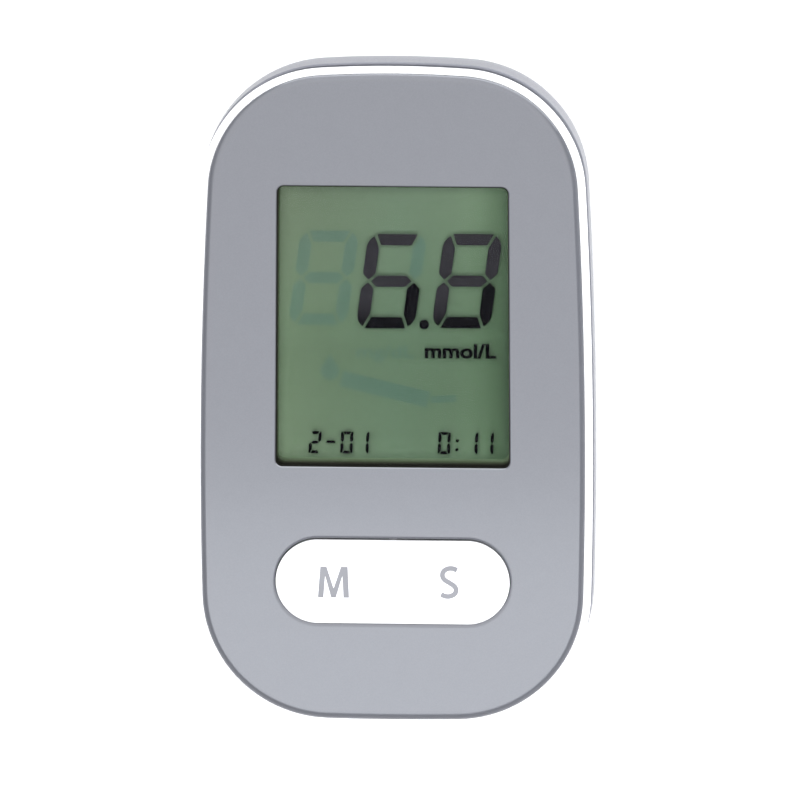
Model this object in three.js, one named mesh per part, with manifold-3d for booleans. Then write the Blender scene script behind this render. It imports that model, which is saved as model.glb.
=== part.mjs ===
// Blood glucose meter, lying on its back, in millimetres.
// +Z points up out of the display, +Y to the display's end and +X to the reader's right.
// The origin is the middle of the underside.

import * as THREE from 'three';
import { mergeVertices } from 'three/addons/utils/BufferGeometryUtils.js';
import Module from 'manifold-3d';

const wasm = await Module();
wasm.setup();

// Clearances

const fit = {
  layer: 0.05, // between stacked layers
  seat: 0.1, // between a piece and what it rests on
  slide: 0.15, // round a piece that slides or drops in
  loose: 0.3, // round a piece that only has to clear its neighbour
};
const overrun = 1; // how far a cut runs past the face it opens

// Smoothness of curves

const endSteps = 3;
const cornerSteps = 9;
const sideSteps = 6;
const bellySteps = 7;
const lipSteps = 4;
const smallCornerSteps = 3;
const roundSides = 20;
const screwSides = 12;
const wireSides = 6;

// Outline of the face plate, made of arcs that meet smoothly

const face = {
  halfWidth: 25.1,
  halfLength: 42.7,
  widestY: -10.2,
  sideRadius: 690,
  topRadius: 150,
  bottomRadius: 370,
  topCornerRadius: 15.6,
  bottomCornerRadius: 16.7,
};

// Silver face plate

const panel = {
  thickness: 1.2,
  bevelWidth: 0.65,
  bevelDrop: 0.4,
};

// Display window, a little wider at its lower end

const pane = {
  topBorder: 14.75, // from the face's top end down to the window
  keyBorder: 9.8, // from the window down to the key
  topSideBorder: 10.02,
  bottomSideBorder: 9.77,
  cornerRadius: 0.8,
};

// White upper housing

const frame = {
  gap: 0.2, // groove between face plate and lip
  lipWidth: 0.65,
  lipDrop: 0.35, // from the face down to the lip's crest
  lipRound: 1.1,
  depth: 3.4, // from the face down to the parting line
  deck: 1.2,
  tongueDepth: 1.4,
  tongueWall: 0.9,
  bossWall: 1.25,
  drawIn: 0.3, // how far the side walls lean inwards down to the parting line
};

// Grey lower shell

const shell = {
  inset: 0.15, // how far it stands inside the white housing
  partingGap: 0.15,
  wall: 1.7,
  floor: 2,
  bellyInset: 5,
  bellyHeight: 11,
  bulge: 0.3, // how far the sides swell out below the rim
  tubeWall: 1,
};

// Two-legged key that rocks about a lengthwise axis

const key = {
  bottomBorder: 12.65, // from the key down to the face's bottom end
  halfLength: 15.25,
  halfHeight: 5.55,
  gap: 0.2,
  chamferWidth: 0.5,
  chamferDepth: 0.35,
  proud: 0.15,
  thickness: 1.4,
  edgeWidth: 0.7,
  edgeDrop: 0.45,
  dividerX: 0.03,
  dividerHalfWidth: 0.55,
  dividerHalfLength: 4.1,
  dividerDepth: 0.2,
  dividerRound: 0.5,
  wellGap: 0.45,
  ribHalfWidth: 1,
  ribInset: 0.35,
  ribDrop: 0.3, // how far the rib reaches below the pin's axis
  pinRadius: 0.55,
  pinReach: 2,
  saddleWall: 1.1,
  saddleFloor: 0.6,
  prongX: 7.6,
  prongRadius: 1.1,
};

// Tact switches under the key

const tact = {
  halfWidth: 2.25,
  height: 0.85,
  base: 0.25,
  plungerRadius: 1,
  plungerProud: 0.35,
  travel: 0.25,
  approach: 0.35, // air between plunger and key leg at rest
};

// Display stack, from the face plate down

const lens = {
  thickness: 0.9,
  margin: 1.3,
  cornerRadius: 1.2,
};
const gasket = {
  thickness: 0.5,
  margin: 1.1,
  inset: 0.4,
};
const cell = {
  sideMargin: 2.27, // glass hidden beyond each side of the window
  endMargin: 2.35,
  plate: 0.55,
  ledge: 2.3, // how much the rear plate is shorter at each end
  reflector: 0.25,
  reflectorInset: 1.2,
};
const strips = {
  width: 1.5,
  inset: 0.3,
  endInset: 1.6,
};
const holder = {
  wall: 0.9,
  ledge: 1,
  footGap: 0.3, // air between reflector and board
};

// Main board and what is soldered to it

const board = {
  thickness: 1,
  margin: 0.4,
};
const rowGap = 0.5; // between neighbouring parts on the board
const controller = {
  width: 6,
  length: 6,
  height: 1.2,
};
const memory = {
  width: 4,
  length: 4.9,
  height: 1.3,
};
const analog = {
  width: 3,
  length: 3,
  height: 0.9,
};
const crystal = {
  radius: 1,
  length: 6,
};
const buzzer = {
  radius: 3,
  height: 2.6,
  holeRadius: 0.9,
  holeDepth: 1,
};

// Batteries and their compartment

const battery = {
  radius: 5.25,
  length: 44.5,
  nubRadius: 1.9,
  nubLength: 0.9,
  edgeRadius: 0.5,
  spacing: 0.4,
};
const bay = {
  wall: 1.1,
  roof: 0.8,
  endInset: 3.5, // from the face's top end
};
const terminal = {
  thickness: 0.3,
  halfWidth: 4.2,
  height: 9.6,
  tabHalfWidth: 1.1,
};
const spring = {
  wireRadius: 0.3,
  baseRadius: 3.2,
  tipRadius: 2.1,
  length: 3.8,
  turns: 3.5,
  stepsPerTurn: 10,
};

// Door on the back

const door = {
  recess: 0.2,
  skin: 0.9,
  stiffener: 0.4,
  lap: 2.35, // how far the skin laps over each side of the compartment
  endLap: 2.2,
  travel: 6,
  tabLength: 5,
  tabReach: 1.5,
  tabThickness: 0.85,
  ribThickness: 0.8,
  firstTabInset: 6.8, // from the compartment's lower end
  lastTabInset: 17.2, // from its upper end
  grooveCount: 5,
  grooveWidth: 0.8,
  groovePitch: 1.9,
  grooveDepth: 0.35,
  grooveHalfLength: 7,
  firstGrooveInset: 3.5, // from the door's lower edge
};

// Test-strip socket at the lower end

const port = {
  halfWidth: 5.8,
  length: 14,
  height: 3.75,
  mouthHalfWidth: 4.2,
  mouthHeight: 1,
  mouthFloor: 1.1,
  mouthLength: 11,
  dipShare: 0.4, // where the contacts dip, along the mouth
  channelWidth: 1.2,
  channelHeight: 1.1,
  contactPitch: 1.9,
  contactCount: 4,
  contactWidth: 0.8,
  contactThickness: 0.22,
  contactDip: 1.2,
  slotHalfWidth: 4.6,
  slotHalfHeight: 0.9,
  funnel: 0.7,
};

// Screws

const caseScrew = {
  headRadius: 1.9,
  headHeight: 1.3,
  shankRadius: 0.95,
  length: 9,
  crossWidth: 0.45,
  crossDepth: 0.7,
  sink: 3, // how far the thread stands in the upper housing's boss
  endInset: 9.7, // of the lower pair, from the face's bottom end
};
const boardScrew = {
  headRadius: 1.35,
  headHeight: 0.8,
  shankRadius: 0.65,
  length: 2.8,
  crossWidth: 0.35,
  crossDepth: 0.4,
  aboveMiddle: 2.6, // of the upper pair, over the middle of the window
  belowHolder: 4.45, // of the lower pair
};

// Heights, stacked from the underside up

const doorTop = door.recess + door.skin;
const recessTop = doorTop + fit.slide;
const stiffenerTop = doorTop + door.stiffener;
const bayHalfHeight = Math.max(battery.radius, terminal.height / 2);
const batteryZ = stiffenerTop + fit.loose + bayHalfHeight;
const roofBottom = batteryZ + bayHalfHeight + fit.slide;
const roofTop = roofBottom + bay.roof;
const boardBottom = roofTop + fit.slide;
const boardTop = boardBottom + board.thickness;
const reflectorBottom = boardTop + holder.footGap;
const reflectorTop = reflectorBottom + cell.reflector;
const rearPlateBottom = reflectorTop + fit.layer;
const rearPlateTop = rearPlateBottom + cell.plate;
const frontPlateBottom = rearPlateTop + fit.layer;
const frontPlateTop = frontPlateBottom + cell.plate;
const gasketBottom = frontPlateTop + fit.layer;
const gasketTop = gasketBottom + gasket.thickness;
const lensBottom = gasketTop + fit.layer;
const lensTop = lensBottom + lens.thickness;
const panelBottom = lensTop + fit.seat;
const panelTop = panelBottom + panel.thickness;
const deckTop = panelBottom - fit.seat;
const deckBottom = deckTop - frame.deck;
const lipTop = panelTop - frame.lipDrop;
const partingZ = panelTop - frame.depth;
const shellTop = partingZ - shell.partingGap;
const tongueBottom = partingZ - frame.tongueDepth;
const bossBottom = roofTop - fit.loose;
const caseScrewTip = bossBottom + caseScrew.sink;
const seatZ = caseScrewTip - caseScrew.length;
const boardScrewTip = boardBottom - fit.seat + boardScrew.length;
const pivotZ = panelBottom - fit.slide - key.pinRadius;
const keyTop = panelTop + key.proud;
const keyBottom = keyTop - key.thickness;
const plungerTop = boardTop + fit.layer + tact.height + tact.plungerProud;
const tabTop = shell.floor + fit.slide + door.tabThickness;
const portTop = boardBottom - fit.seat;
const mouthBottom = portTop - port.height + port.mouthFloor;
const mouthTop = mouthBottom + port.mouthHeight;
const slotZ = (mouthBottom + mouthTop) / 2;

// Offsets of each wall from the face plate's outline, outwards positive

const caseOffset = frame.gap + frame.lipWidth;
const shellOffset = caseOffset - shell.inset;
const shellInnerOffset = shellOffset - shell.wall;
const tongueOffset = shellInnerOffset - fit.slide;
const cavityOffset = tongueOffset - frame.tongueWall;
const boardOffset = cavityOffset - board.margin;

// Places on the face

const keyY = -face.halfLength + key.bottomBorder + key.halfHeight;
const paneTopY = face.halfLength - pane.topBorder;
const paneBottomY = keyY + key.halfHeight + pane.keyBorder;
const paneY = (paneTopY + paneBottomY) / 2;
const paneTopHalfWidth = face.halfWidth - pane.topSideBorder;
const paneBottomHalfWidth = face.halfWidth - pane.bottomSideBorder;

// Display cell and its holder

const cellHalfWidth = Math.max(paneTopHalfWidth, paneBottomHalfWidth) + cell.sideMargin;
const cellHalfLength = (paneTopY - paneBottomY) / 2 + cell.endMargin;
const holderHalfWidth = cellHalfWidth + fit.slide + holder.wall;
const holderHalfLength = cellHalfLength + fit.slide + holder.wall;

// Compartment and door

const batteryX = battery.radius + battery.spacing / 2;
const bayHalfWidth = batteryX + Math.max(battery.radius, terminal.halfWidth) + fit.loose;
const plateDepth = fit.seat + terminal.thickness;
const bayLength = battery.length + spring.length + 2 * plateDepth + 3 * fit.loose;
const bayTopY = face.halfLength - bay.endInset;
const bayBottomY = bayTopY - bayLength;
const doorHalfWidth = bayHalfWidth + door.lap;
const doorBottomY = bayBottomY - door.endLap;
const tabYs = [bayBottomY + door.firstTabInset, bayTopY - door.lastTabInset];
const tabOuterX = bayHalfWidth + door.tabReach;

// Screws, and the parts below the compartment, in columns on both sides of the strip socket

const bossRadius = caseScrew.shankRadius + fit.slide + frame.bossWall;
const caseScrewX = doorHalfWidth + fit.slide + caseScrew.headRadius + 2 * fit.loose;
const caseScrewTopY = paneY + holderHalfLength + fit.loose + bossRadius;
const caseScrewBottomY = caseScrew.endInset - face.halfLength;
const boardScrewTopY = paneY + boardScrew.aboveMiddle;
const boardScrewBottomY = paneY - holderHalfLength - boardScrew.belowHolder;
const columnX = port.halfWidth + rowGap;
const rowY = bayBottomY - bay.wall - rowGap;
const portFrontY = 2 * fit.loose - (face.halfLength + shellInnerOffset + shell.bulge);
const portBackY = portFrontY + port.length;

// Materials

const finish = (color, roughness, metalness = 0, more = {}) =>
  new THREE.MeshStandardMaterial({ color, roughness, metalness, ...more });
const glassy = { transparent: true, opacity: 0.3 };
const materials = {
  silverPanel: () => finish(0xa3a7b0, 0.45, 0.35),
  whiteGloss: () => finish(0xf4f5f6, 0.2),
  greyShell: () => finish(0xb4b9c2, 0.45),
  darkPlastic: () => finish(0x2a2c30, 0.6),
  clearLens: () => finish(0xf2f6f4, 0.05, 0, glassy),
  displayGlass: () => finish(0xc8d4c0, 0.08, 0, glassy),
  displayGround: () => finish(0x7d8f72, 0.6),
  foam: () => finish(0x1b1c1e, 0.95),
  conductiveRubber: () => finish(0x3a3a3c, 0.9),
  board: () => finish(0x1f6b3a, 0.5),
  chip: () => finish(0x1c1d1f, 0.55),
  steel: () => finish(0xb9bcc0, 0.3, 0.9),
  springSteel: () => finish(0xc3c6ca, 0.3, 0.95),
  gold: () => finish(0xd2a94e, 0.3, 0.95),
  batteryCan: () => finish(0x8c9096, 0.35, 0.7),
};

// Solids

// A closed geometry as a solid that can be joined and cut.
function solid(geometry) {
  const bare = geometry.index ? geometry.toNonIndexed() : geometry.clone();
  bare.deleteAttribute('normal');
  bare.deleteAttribute('uv');
  const merged = mergeVertices(bare);
  return new wasm.Manifold(
    new wasm.Mesh({
      numProp: 3,
      vertProperties: merged.attributes.position.array,
      triVerts: new Uint32Array(merged.index.array),
    }),
  );
}

function block([x0, x1], [y0, y1], [z0, z1]) {
  const box = new THREE.BoxGeometry(x1 - x0, y1 - y0, z1 - z0);
  box.translate((x0 + x1) / 2, (y0 + y1) / 2, (z0 + z1) / 2);
  return solid(box);
}

function upright(radius, x, y, [z0, z1], sides = roundSides) {
  const rod = new THREE.CylinderGeometry(radius, radius, z1 - z0, sides);
  rod.rotateX(Math.PI / 2);
  rod.translate(x, y, (z0 + z1) / 2);
  return solid(rod);
}

function lengthwise(radius, x, [y0, y1], z, sides = roundSides) {
  const rod = new THREE.CylinderGeometry(radius, radius, y1 - y0, sides);
  rod.translate(x, (y0 + y1) / 2, z);
  return solid(rod);
}

const atHeight = (outline, z) => outline.map((p) => new THREE.Vector3(p.x, p.y, z));

// Joins matching rings, lowest first and each counter-clockwise from above, into one closed body.
function loft(rings) {
  const count = rings[0].length;
  const points = rings.flat();
  const triangles = [];
  for (let level = 0; level < rings.length - 1; level += 1) {
    for (let i = 0; i < count; i += 1) {
      const a = level * count + i;
      const b = level * count + ((i + 1) % count);
      triangles.push(a, b, b + count, a, b + count, a + count);
    }
  }
  for (const [start, flip] of [[0, true], [points.length - count, false]]) {
    const ring = points.slice(start, start + count);
    const middle = points.length;
    points.push(ring.reduce((sum, p) => sum.add(p), new THREE.Vector3()).divideScalar(count));
    for (let i = 0; i < count; i += 1) {
      const a = start + i;
      const b = start + ((i + 1) % count);
      triangles.push(middle, flip ? b : a, flip ? a : b);
    }
  }
  const geometry = new THREE.BufferGeometry().setFromPoints(points);
  geometry.setIndex(triangles);
  return solid(geometry);
}

const prism = (outline, [z0, z1]) => loft([atHeight(outline, z0), atHeight(outline, z1)]);
const joined = (parts) => parts.reduce((sum, part) => sum.add(part));
const cut = (body, parts) => parts.reduce((rest, part) => rest.subtract(part), body);

// Outlines

// Points on an arc from one angle up to, but not including, another.
function arc(centre, radius, from, to, steps) {
  return Array.from({ length: steps }, (_, i) => {
    const angle = THREE.MathUtils.lerp(from, to, i / steps);
    return new THREE.Vector2(Math.cos(angle), Math.sin(angle)).multiplyScalar(radius).add(centre);
  });
}

// Where two circles meet, on their right-hand side.
function meeting(centreA, radiusA, centreB, radiusB) {
  const between = centreB.clone().sub(centreA);
  const distance = between.length();
  const along = (radiusA ** 2 - radiusB ** 2 + distance ** 2) / (2 * distance);
  const across = Math.sqrt(Math.max(radiusA ** 2 - along ** 2, 0));
  const unit = between.normalize();
  const foot = centreA.clone().addScaledVector(unit, along);
  const normal = new THREE.Vector2(-unit.y, unit.x);
  const ends = [across, -across].map((s) => foot.clone().addScaledVector(normal, s));
  return ends[0].x > ends[1].x ? ends[0] : ends[1];
}

const heading = (from, to) => Math.atan2(to.y - from.y, to.x - from.x);

// The face plate's outline, moved outwards by an offset.
function faceOutline(offset) {
  const side = new THREE.Vector2(face.halfWidth - face.sideRadius, face.widestY);
  const top = new THREE.Vector2(0, face.halfLength - face.topRadius);
  const bottom = new THREE.Vector2(0, face.bottomRadius - face.halfLength);
  const corner = (end, endRadius, radius) =>
    meeting(end, endRadius - radius, side, face.sideRadius - radius);
  const high = corner(top, face.topRadius, face.topCornerRadius);
  const low = corner(bottom, face.bottomRadius, face.bottomCornerRadius);
  const quarter = Math.PI / 2;
  const right = [
    ...arc(bottom, face.bottomRadius + offset, -quarter, heading(bottom, low), endSteps),
    ...arc(low, face.bottomCornerRadius + offset, heading(bottom, low), heading(side, low), cornerSteps),
    ...arc(side, face.sideRadius + offset, heading(side, low), heading(side, high), sideSteps),
    ...arc(high, face.topCornerRadius + offset, heading(side, high), heading(top, high), cornerSteps),
    ...arc(top, face.topRadius + offset, heading(top, high), quarter, endSteps),
  ];
  const left = right.slice(1).reverse().map((p) => new THREE.Vector2(-p.x, p.y));
  return [...right, new THREE.Vector2(0, face.halfLength + offset), ...left];
}

// Half the width between the offset sides at a height up the face.
function halfWidthAt(y, offset) {
  const radius = face.sideRadius + offset;
  return face.halfWidth - face.sideRadius + Math.sqrt(radius ** 2 - (y - face.widestY) ** 2);
}

function roundedOutline(lowHalfWidth, highHalfWidth, [y0, y1], radius, steps = smallCornerSteps) {
  const corners = [
    [lowHalfWidth - radius, y0 + radius],
    [highHalfWidth - radius, y1 - radius],
    [radius - highHalfWidth, y1 - radius],
    [radius - lowHalfWidth, y0 + radius],
  ];
  return corners.flatMap(([x, y], i) => {
    const centre = new THREE.Vector2(x, y);
    const from = (i - 1) * (Math.PI / 2);
    const to = i * (Math.PI / 2);
    const last = new THREE.Vector2(Math.cos(to), Math.sin(to)).multiplyScalar(radius).add(centre);
    return [...arc(centre, radius, from, to, steps), last];
  });
}

// A pill shape with its centre on the lengthwise axis.
function pillOutline(halfLength, halfHeight, y) {
  const reach = halfLength - halfHeight;
  return [-1, 1].flatMap((side) => {
    const centre = new THREE.Vector2(-side * reach, y);
    const from = side * (Math.PI / 2);
    return [
      ...arc(centre, halfHeight, from, from + Math.PI, 2 * cornerSteps),
      new THREE.Vector2(-side * reach, y + side * -halfHeight),
    ];
  });
}

// The window's outline, moved outwards by an offset.
function paneOutline(offset, radius) {
  const ys = [paneBottomY - offset, paneTopY + offset];
  return roundedOutline(paneBottomHalfWidth + offset, paneTopHalfWidth + offset, ys, radius);
}

const meter = new THREE.Group();

function add(name, body, material, position = [0, 0, 0], turn = 0) {
  const { vertProperties, triVerts } = body.getMesh();
  const geometry = new THREE.BufferGeometry();
  geometry.setAttribute('position', new THREE.BufferAttribute(vertProperties, 3));
  geometry.setIndex(new THREE.BufferAttribute(triVerts, 1));
  geometry.computeVertexNormals();
  const mesh = new THREE.Mesh(geometry, material);
  mesh.name = name;
  mesh.position.set(...position);
  mesh.rotation.z = turn;
  meter.add(mesh);
}

// Silver face plate with a bevelled rim, the window and the key opening

function frontPanel() {
  const bevelShares = [[0, 1], [0.2, 0.45], [0.55, 0.12], [1, 0]];
  const rings = [atHeight(faceOutline(0), panelBottom)];
  for (const [inShare, downShare] of bevelShares) {
    const outline = faceOutline(-panel.bevelWidth * inShare);
    rings.push(atHeight(outline, panelTop - panel.bevelDrop * downShare));
  }
  const through = [panelBottom - overrun, panelTop + overrun];
  const opening = (grow) =>
    pillOutline(key.halfLength + key.gap + grow, key.halfHeight + key.gap + grow, keyY);
  const slope = key.chamferWidth / key.chamferDepth;
  const chamfer = loft([
    atHeight(opening(0), panelTop - key.chamferDepth),
    atHeight(opening(key.chamferWidth + slope * overrun), panelTop + overrun),
  ]);
  const window = prism(paneOutline(0, pane.cornerRadius), through);
  return cut(loft(rings), [window, prism(opening(0), through), chamfer]);
}

// White upper housing: rounded lip, deck, tongue, key saddles and screw bosses

function lipRings() {
  const rings = [atHeight(faceOutline(caseOffset - frame.drawIn), partingZ)];
  const crest = frame.gap + fit.slide;
  for (let i = 0; i <= lipSteps; i += 1) {
    const angle = (i / lipSteps) * (Math.PI / 2);
    const offset = crest + (caseOffset - crest) * Math.cos(angle);
    rings.push(atHeight(faceOutline(offset), lipTop - frame.lipRound * (1 - Math.sin(angle))));
  }
  return rings;
}

function keySaddle(end) {
  const inner = key.halfHeight + key.wellGap;
  const outer = key.halfHeight + key.pinReach + fit.loose + key.saddleWall;
  const half = key.pinRadius + fit.slide + key.saddleWall;
  const ys = [inner - fit.slide, outer].map((y) => keyY + end * y).sort((a, b) => a - b);
  return block([-half, half], ys, [pivotZ - key.pinRadius - fit.slide - key.saddleFloor, deckTop]);
}

function saddleNotch(end) {
  const reach = key.halfHeight + key.pinReach + fit.loose;
  const ys = [0, reach].map((y) => keyY + end * y).sort((a, b) => a - b);
  const radius = key.pinRadius + fit.slide;
  const round = lengthwise(radius, 0, ys, pivotZ);
  return round.add(block([-radius, radius], ys, [pivotZ, deckTop + overrun]));
}

const caseScrewPlaces = [
  [-caseScrewX, caseScrewTopY],
  [caseScrewX, caseScrewTopY],
  [-caseScrewX, caseScrewBottomY],
  [caseScrewX, caseScrewBottomY],
];

// The upper pair of board screws stands between the display holder and the housing's wall.
const boardScrewPlaces = [boardScrewTopY, boardScrewBottomY].flatMap((y) => {
  const x = (holderHalfWidth + halfWidthAt(y, cavityOffset)) / 2;
  return [[-x, y], [x, y]];
});

function midFrame() {
  const boardBossRadius = boardScrew.shankRadius + fit.slide + frame.bossWall / 2;
  const cavity = prism(faceOutline(cavityOffset), [tongueBottom - overrun, deckBottom]);
  const recess = prism(faceOutline(frame.gap), [deckTop, lipTop + overrun]);
  const shoulder = loft([
    atHeight(faceOutline(frame.gap), lipTop - fit.slide),
    atHeight(faceOutline(frame.gap + fit.slide + overrun), lipTop + overrun),
  ]);
  const lensOpening = prism(
    paneOutline(lens.margin + fit.loose, lens.cornerRadius),
    [deckBottom - overrun, deckTop + overrun],
  );
  const well = prism(
    pillOutline(key.halfLength + key.wellGap, key.halfHeight + key.wellGap, keyY),
    [deckBottom - overrun, deckTop + overrun],
  );
  const shellPart = cut(
    loft(lipRings()).add(prism(faceOutline(tongueOffset), [tongueBottom, partingZ + frame.deck / 2])),
    [cavity, recess, shoulder, lensOpening, well],
  );
  const bosses = [
    ...caseScrewPlaces.map(([x, y]) => upright(bossRadius, x, y, [bossBottom, deckBottom + fit.loose])),
    ...boardScrewPlaces.map(([x, y]) =>
      upright(boardBossRadius, x, y, [boardTop + fit.seat, deckBottom + fit.loose]),
    ),
    keySaddle(1),
    keySaddle(-1),
  ];
  const holes = [
    ...caseScrewPlaces.map(([x, y]) =>
      upright(caseScrew.shankRadius + fit.slide, x, y, [bossBottom - overrun, caseScrewTip + fit.loose]),
    ),
    ...boardScrewPlaces.map(([x, y]) =>
      upright(
        boardScrew.shankRadius + fit.slide,
        x,
        y,
        [boardTop - overrun, boardScrewTip + fit.loose],
        screwSides,
      ),
    ),
    saddleNotch(1),
    saddleNotch(-1),
  ];
  return cut(joined([shellPart, ...bosses]), holes);
}

// Grey lower shell: belly, battery compartment, door recess, screw tubes and strip slot

// A shell form whose flat underside curves up into sides that swell out a little below the rim.
function bellyForm(rimOffset, floorZ, inset, rimZ) {
  const shoulderShares = [[0.5, 0.75], [1, 0]];
  const rings = [];
  for (let i = 0; i <= bellySteps; i += 1) {
    const angle = (i / bellySteps) * (Math.PI / 2);
    const outline = faceOutline(rimOffset + shell.bulge - inset * (1 - Math.sin(angle)));
    const z = shell.bellyHeight - (shell.bellyHeight - floorZ) * Math.cos(angle);
    rings.push(atHeight(outline, z));
  }
  for (const [riseShare, bulgeShare] of shoulderShares) {
    const z = shell.bellyHeight + (rimZ - shell.bellyHeight) * riseShare;
    rings.push(atHeight(faceOutline(rimOffset + shell.bulge * bulgeShare), z));
  }
  return loft(rings);
}

const outerForm = (shrink) =>
  bellyForm(shellOffset - shrink, shrink, shell.bellyInset, shellTop);

function doorRecess() {
  const halfWidth = doorHalfWidth + fit.slide;
  const ys = [doorBottomY - fit.slide, face.halfLength + overrun];
  return block([-halfWidth, halfWidth], ys, [-overrun, recessTop]);
}

// Room for one tab to slide above the floor, and the notch that lets it drop at the end.
function tabWay(side, y) {
  const reach = door.tabLength / 2 + fit.loose;
  const xs = [bayHalfWidth - overrun, tabOuterX + fit.slide].map((x) => side * x).sort((a, b) => a - b);
  const way = block(xs, [y - reach, y + reach + door.travel], [shell.floor, tabTop + fit.slide]);
  const notch = block(xs, [y - reach + door.travel, y + reach + door.travel], [-overrun, tabTop]);
  return way.add(notch);
}

function stripSlot() {
  const outerY = -(face.halfLength + shellOffset + shell.bulge);
  const ring = (y, grow) => {
    const w = port.slotHalfWidth + grow;
    const h = port.slotHalfHeight + grow;
    return [[-w, -h], [w, -h], [w, h], [-w, h]].map(
      ([x, z]) => new THREE.Vector3(x, y, slotZ + z),
    );
  };
  return loft([
    ring(outerY + shell.wall + overrun, 0),
    ring(outerY + port.funnel, 0),
    ring(outerY, port.funnel),
    ring(outerY - overrun, port.funnel),
  ]);
}

function rearCover() {
  const inside = bellyForm(
    shellInnerOffset,
    shell.floor,
    shell.bellyInset - fit.loose,
    shellTop + overrun,
  );
  const wallX = bayHalfWidth + bay.wall;
  const compartment = block(
    [-wallX, wallX],
    [bayBottomY - bay.wall, bayTopY + bay.wall],
    [shell.floor - fit.loose, roofTop],
  );
  const tubeRadius = caseScrew.headRadius + fit.loose + shell.tubeWall;
  const tubes = caseScrewPlaces.map(([x, y]) =>
    upright(tubeRadius, x, y, [fit.loose, bossBottom - fit.loose]),
  );
  const walls = outerForm(0).subtract(inside);
  const added = joined([compartment, ...tubes]).intersect(outerForm(0));
  const hollow = block([-bayHalfWidth, bayHalfWidth], [bayBottomY, bayTopY], [-overrun, roofBottom]);
  const tabSlot = block(
    [-batteryX - terminal.tabHalfWidth - fit.loose, batteryX + terminal.tabHalfWidth + fit.loose],
    [bayBottomY, bayBottomY + plateDepth + fit.loose],
    [roofBottom - overrun, roofTop + overrun],
  );
  const cuts = [
    hollow,
    tabSlot,
    doorRecess(),
    stripSlot(),
    ...[-1, 1].flatMap((side) => tabYs.map((y) => tabWay(side, y))),
    ...caseScrewPlaces.map(([x, y]) => upright(caseScrew.headRadius + fit.loose, x, y, [-overrun, seatZ])),
    ...caseScrewPlaces.map(([x, y]) => upright(caseScrew.shankRadius + fit.loose, x, y, [0, shellTop])),
  ];
  return cut(walls.add(added), cuts);
}

// Door with sliding tabs and finger grooves

function batteryDoor() {
  const endY = face.halfLength;
  const skin = block([-doorHalfWidth, doorHalfWidth], [doorBottomY, endY], [door.recess, doorTop]);
  const stiffenerHalf = bayHalfWidth - fit.loose;
  const stiffener = block(
    [-stiffenerHalf, stiffenerHalf],
    [bayBottomY + fit.loose, bayTopY - door.travel - 2 * fit.loose],
    [doorTop - door.skin / 2, stiffenerTop],
  );
  const tabs = [-1, 1].flatMap((side) =>
    tabYs.flatMap((y) => {
      const ys = [y - door.tabLength / 2, y + door.tabLength / 2];
      const span = (a, b) => [a, b].map((x) => side * x).sort((p, q) => p - q);
      const ribXs = span(stiffenerHalf - door.ribThickness, stiffenerHalf);
      const tabXs = span(stiffenerHalf - door.ribThickness, tabOuterX);
      return [
        block(ribXs, ys, [stiffenerTop - door.stiffener, tabTop]),
        block(tabXs, ys, [shell.floor + fit.slide, tabTop]),
      ];
    }),
  );
  const grooves = Array.from({ length: door.grooveCount }, (_, i) => {
    const y = doorBottomY + door.firstGrooveInset + i * door.groovePitch;
    return block(
      [-door.grooveHalfLength, door.grooveHalfLength],
      [y, y + door.grooveWidth],
      [-overrun, door.recess + door.grooveDepth],
    );
  });
  const trimmed = skin.intersect(outerForm(0));
  return cut(joined([trimmed, stiffener, ...tabs]), grooves);
}

// Rocking key: crowned pill, divider, centre rib with pins, and one leg over each switch

function rockerKey() {
  const crownShares = [[0, 1], [0.12, 0.6], [0.4, 0.2], [1, 0]];
  const pill = (shrink) => pillOutline(key.halfLength - shrink, key.halfHeight - shrink, keyY);
  const rings = [atHeight(pill(0), keyBottom)];
  for (const [inShare, downShare] of crownShares) {
    rings.push(atHeight(pill(key.edgeWidth * inShare), keyTop - key.edgeDrop * downShare));
  }
  const ribHalfLength = key.halfHeight - key.ribInset;
  const rib = block(
    [-key.ribHalfWidth, key.ribHalfWidth],
    [keyY - ribHalfLength, keyY + ribHalfLength],
    [pivotZ - key.ribDrop, keyBottom + key.thickness / 2],
  );
  const pinHalfLength = key.halfHeight + key.pinReach;
  const pin = lengthwise(
    key.pinRadius,
    0,
    [keyY - pinHalfLength, keyY + pinHalfLength],
    pivotZ,
    screwSides,
  );
  const legs = [-1, 1].map((side) =>
    upright(
      key.prongRadius,
      side * key.prongX,
      keyY,
      [plungerTop + tact.approach, keyBottom + key.thickness / 2],
      screwSides,
    ),
  );
  const divider = prism(
    roundedOutline(
      key.dividerHalfWidth,
      key.dividerHalfWidth,
      [-key.dividerHalfLength, key.dividerHalfLength],
      key.dividerRound,
    ),
    [-key.dividerDepth, overrun],
  ).translate([key.dividerX, keyY, keyTop]);
  return joined([loft(rings), rib, pin, ...legs]).subtract(divider);
}

// Tact switch, built about the middle of its foot

function tactBody() {
  const body = block(
    [-tact.halfWidth, tact.halfWidth],
    [-tact.halfWidth, tact.halfWidth],
    [0, tact.height],
  );
  const bore = upright(
    tact.plungerRadius + fit.slide,
    0,
    0,
    [tact.base, tact.height + overrun],
    screwSides,
  );
  return body.subtract(bore);
}

function tactPlunger() {
  const span = [tact.base + tact.travel + fit.layer, tact.height + tact.plungerProud];
  return upright(tact.plungerRadius, 0, 0, span, screwSides);
}

// Display

function displayLens() {
  return prism(paneOutline(lens.margin, lens.cornerRadius), [lensBottom, lensTop]);
}

function lcdGasket() {
  const outer = prism(paneOutline(gasket.margin, lens.cornerRadius), [gasketBottom, gasketTop]);
  const inner = prism(
    paneOutline(-gasket.inset, pane.cornerRadius / 2),
    [gasketBottom - overrun, gasketTop + overrun],
  );
  return outer.subtract(inner);
}

const glassPlate = (halfWidth, halfLength, heights) =>
  block([-halfWidth, halfWidth], [paneY - halfLength, paneY + halfLength], heights);

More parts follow.
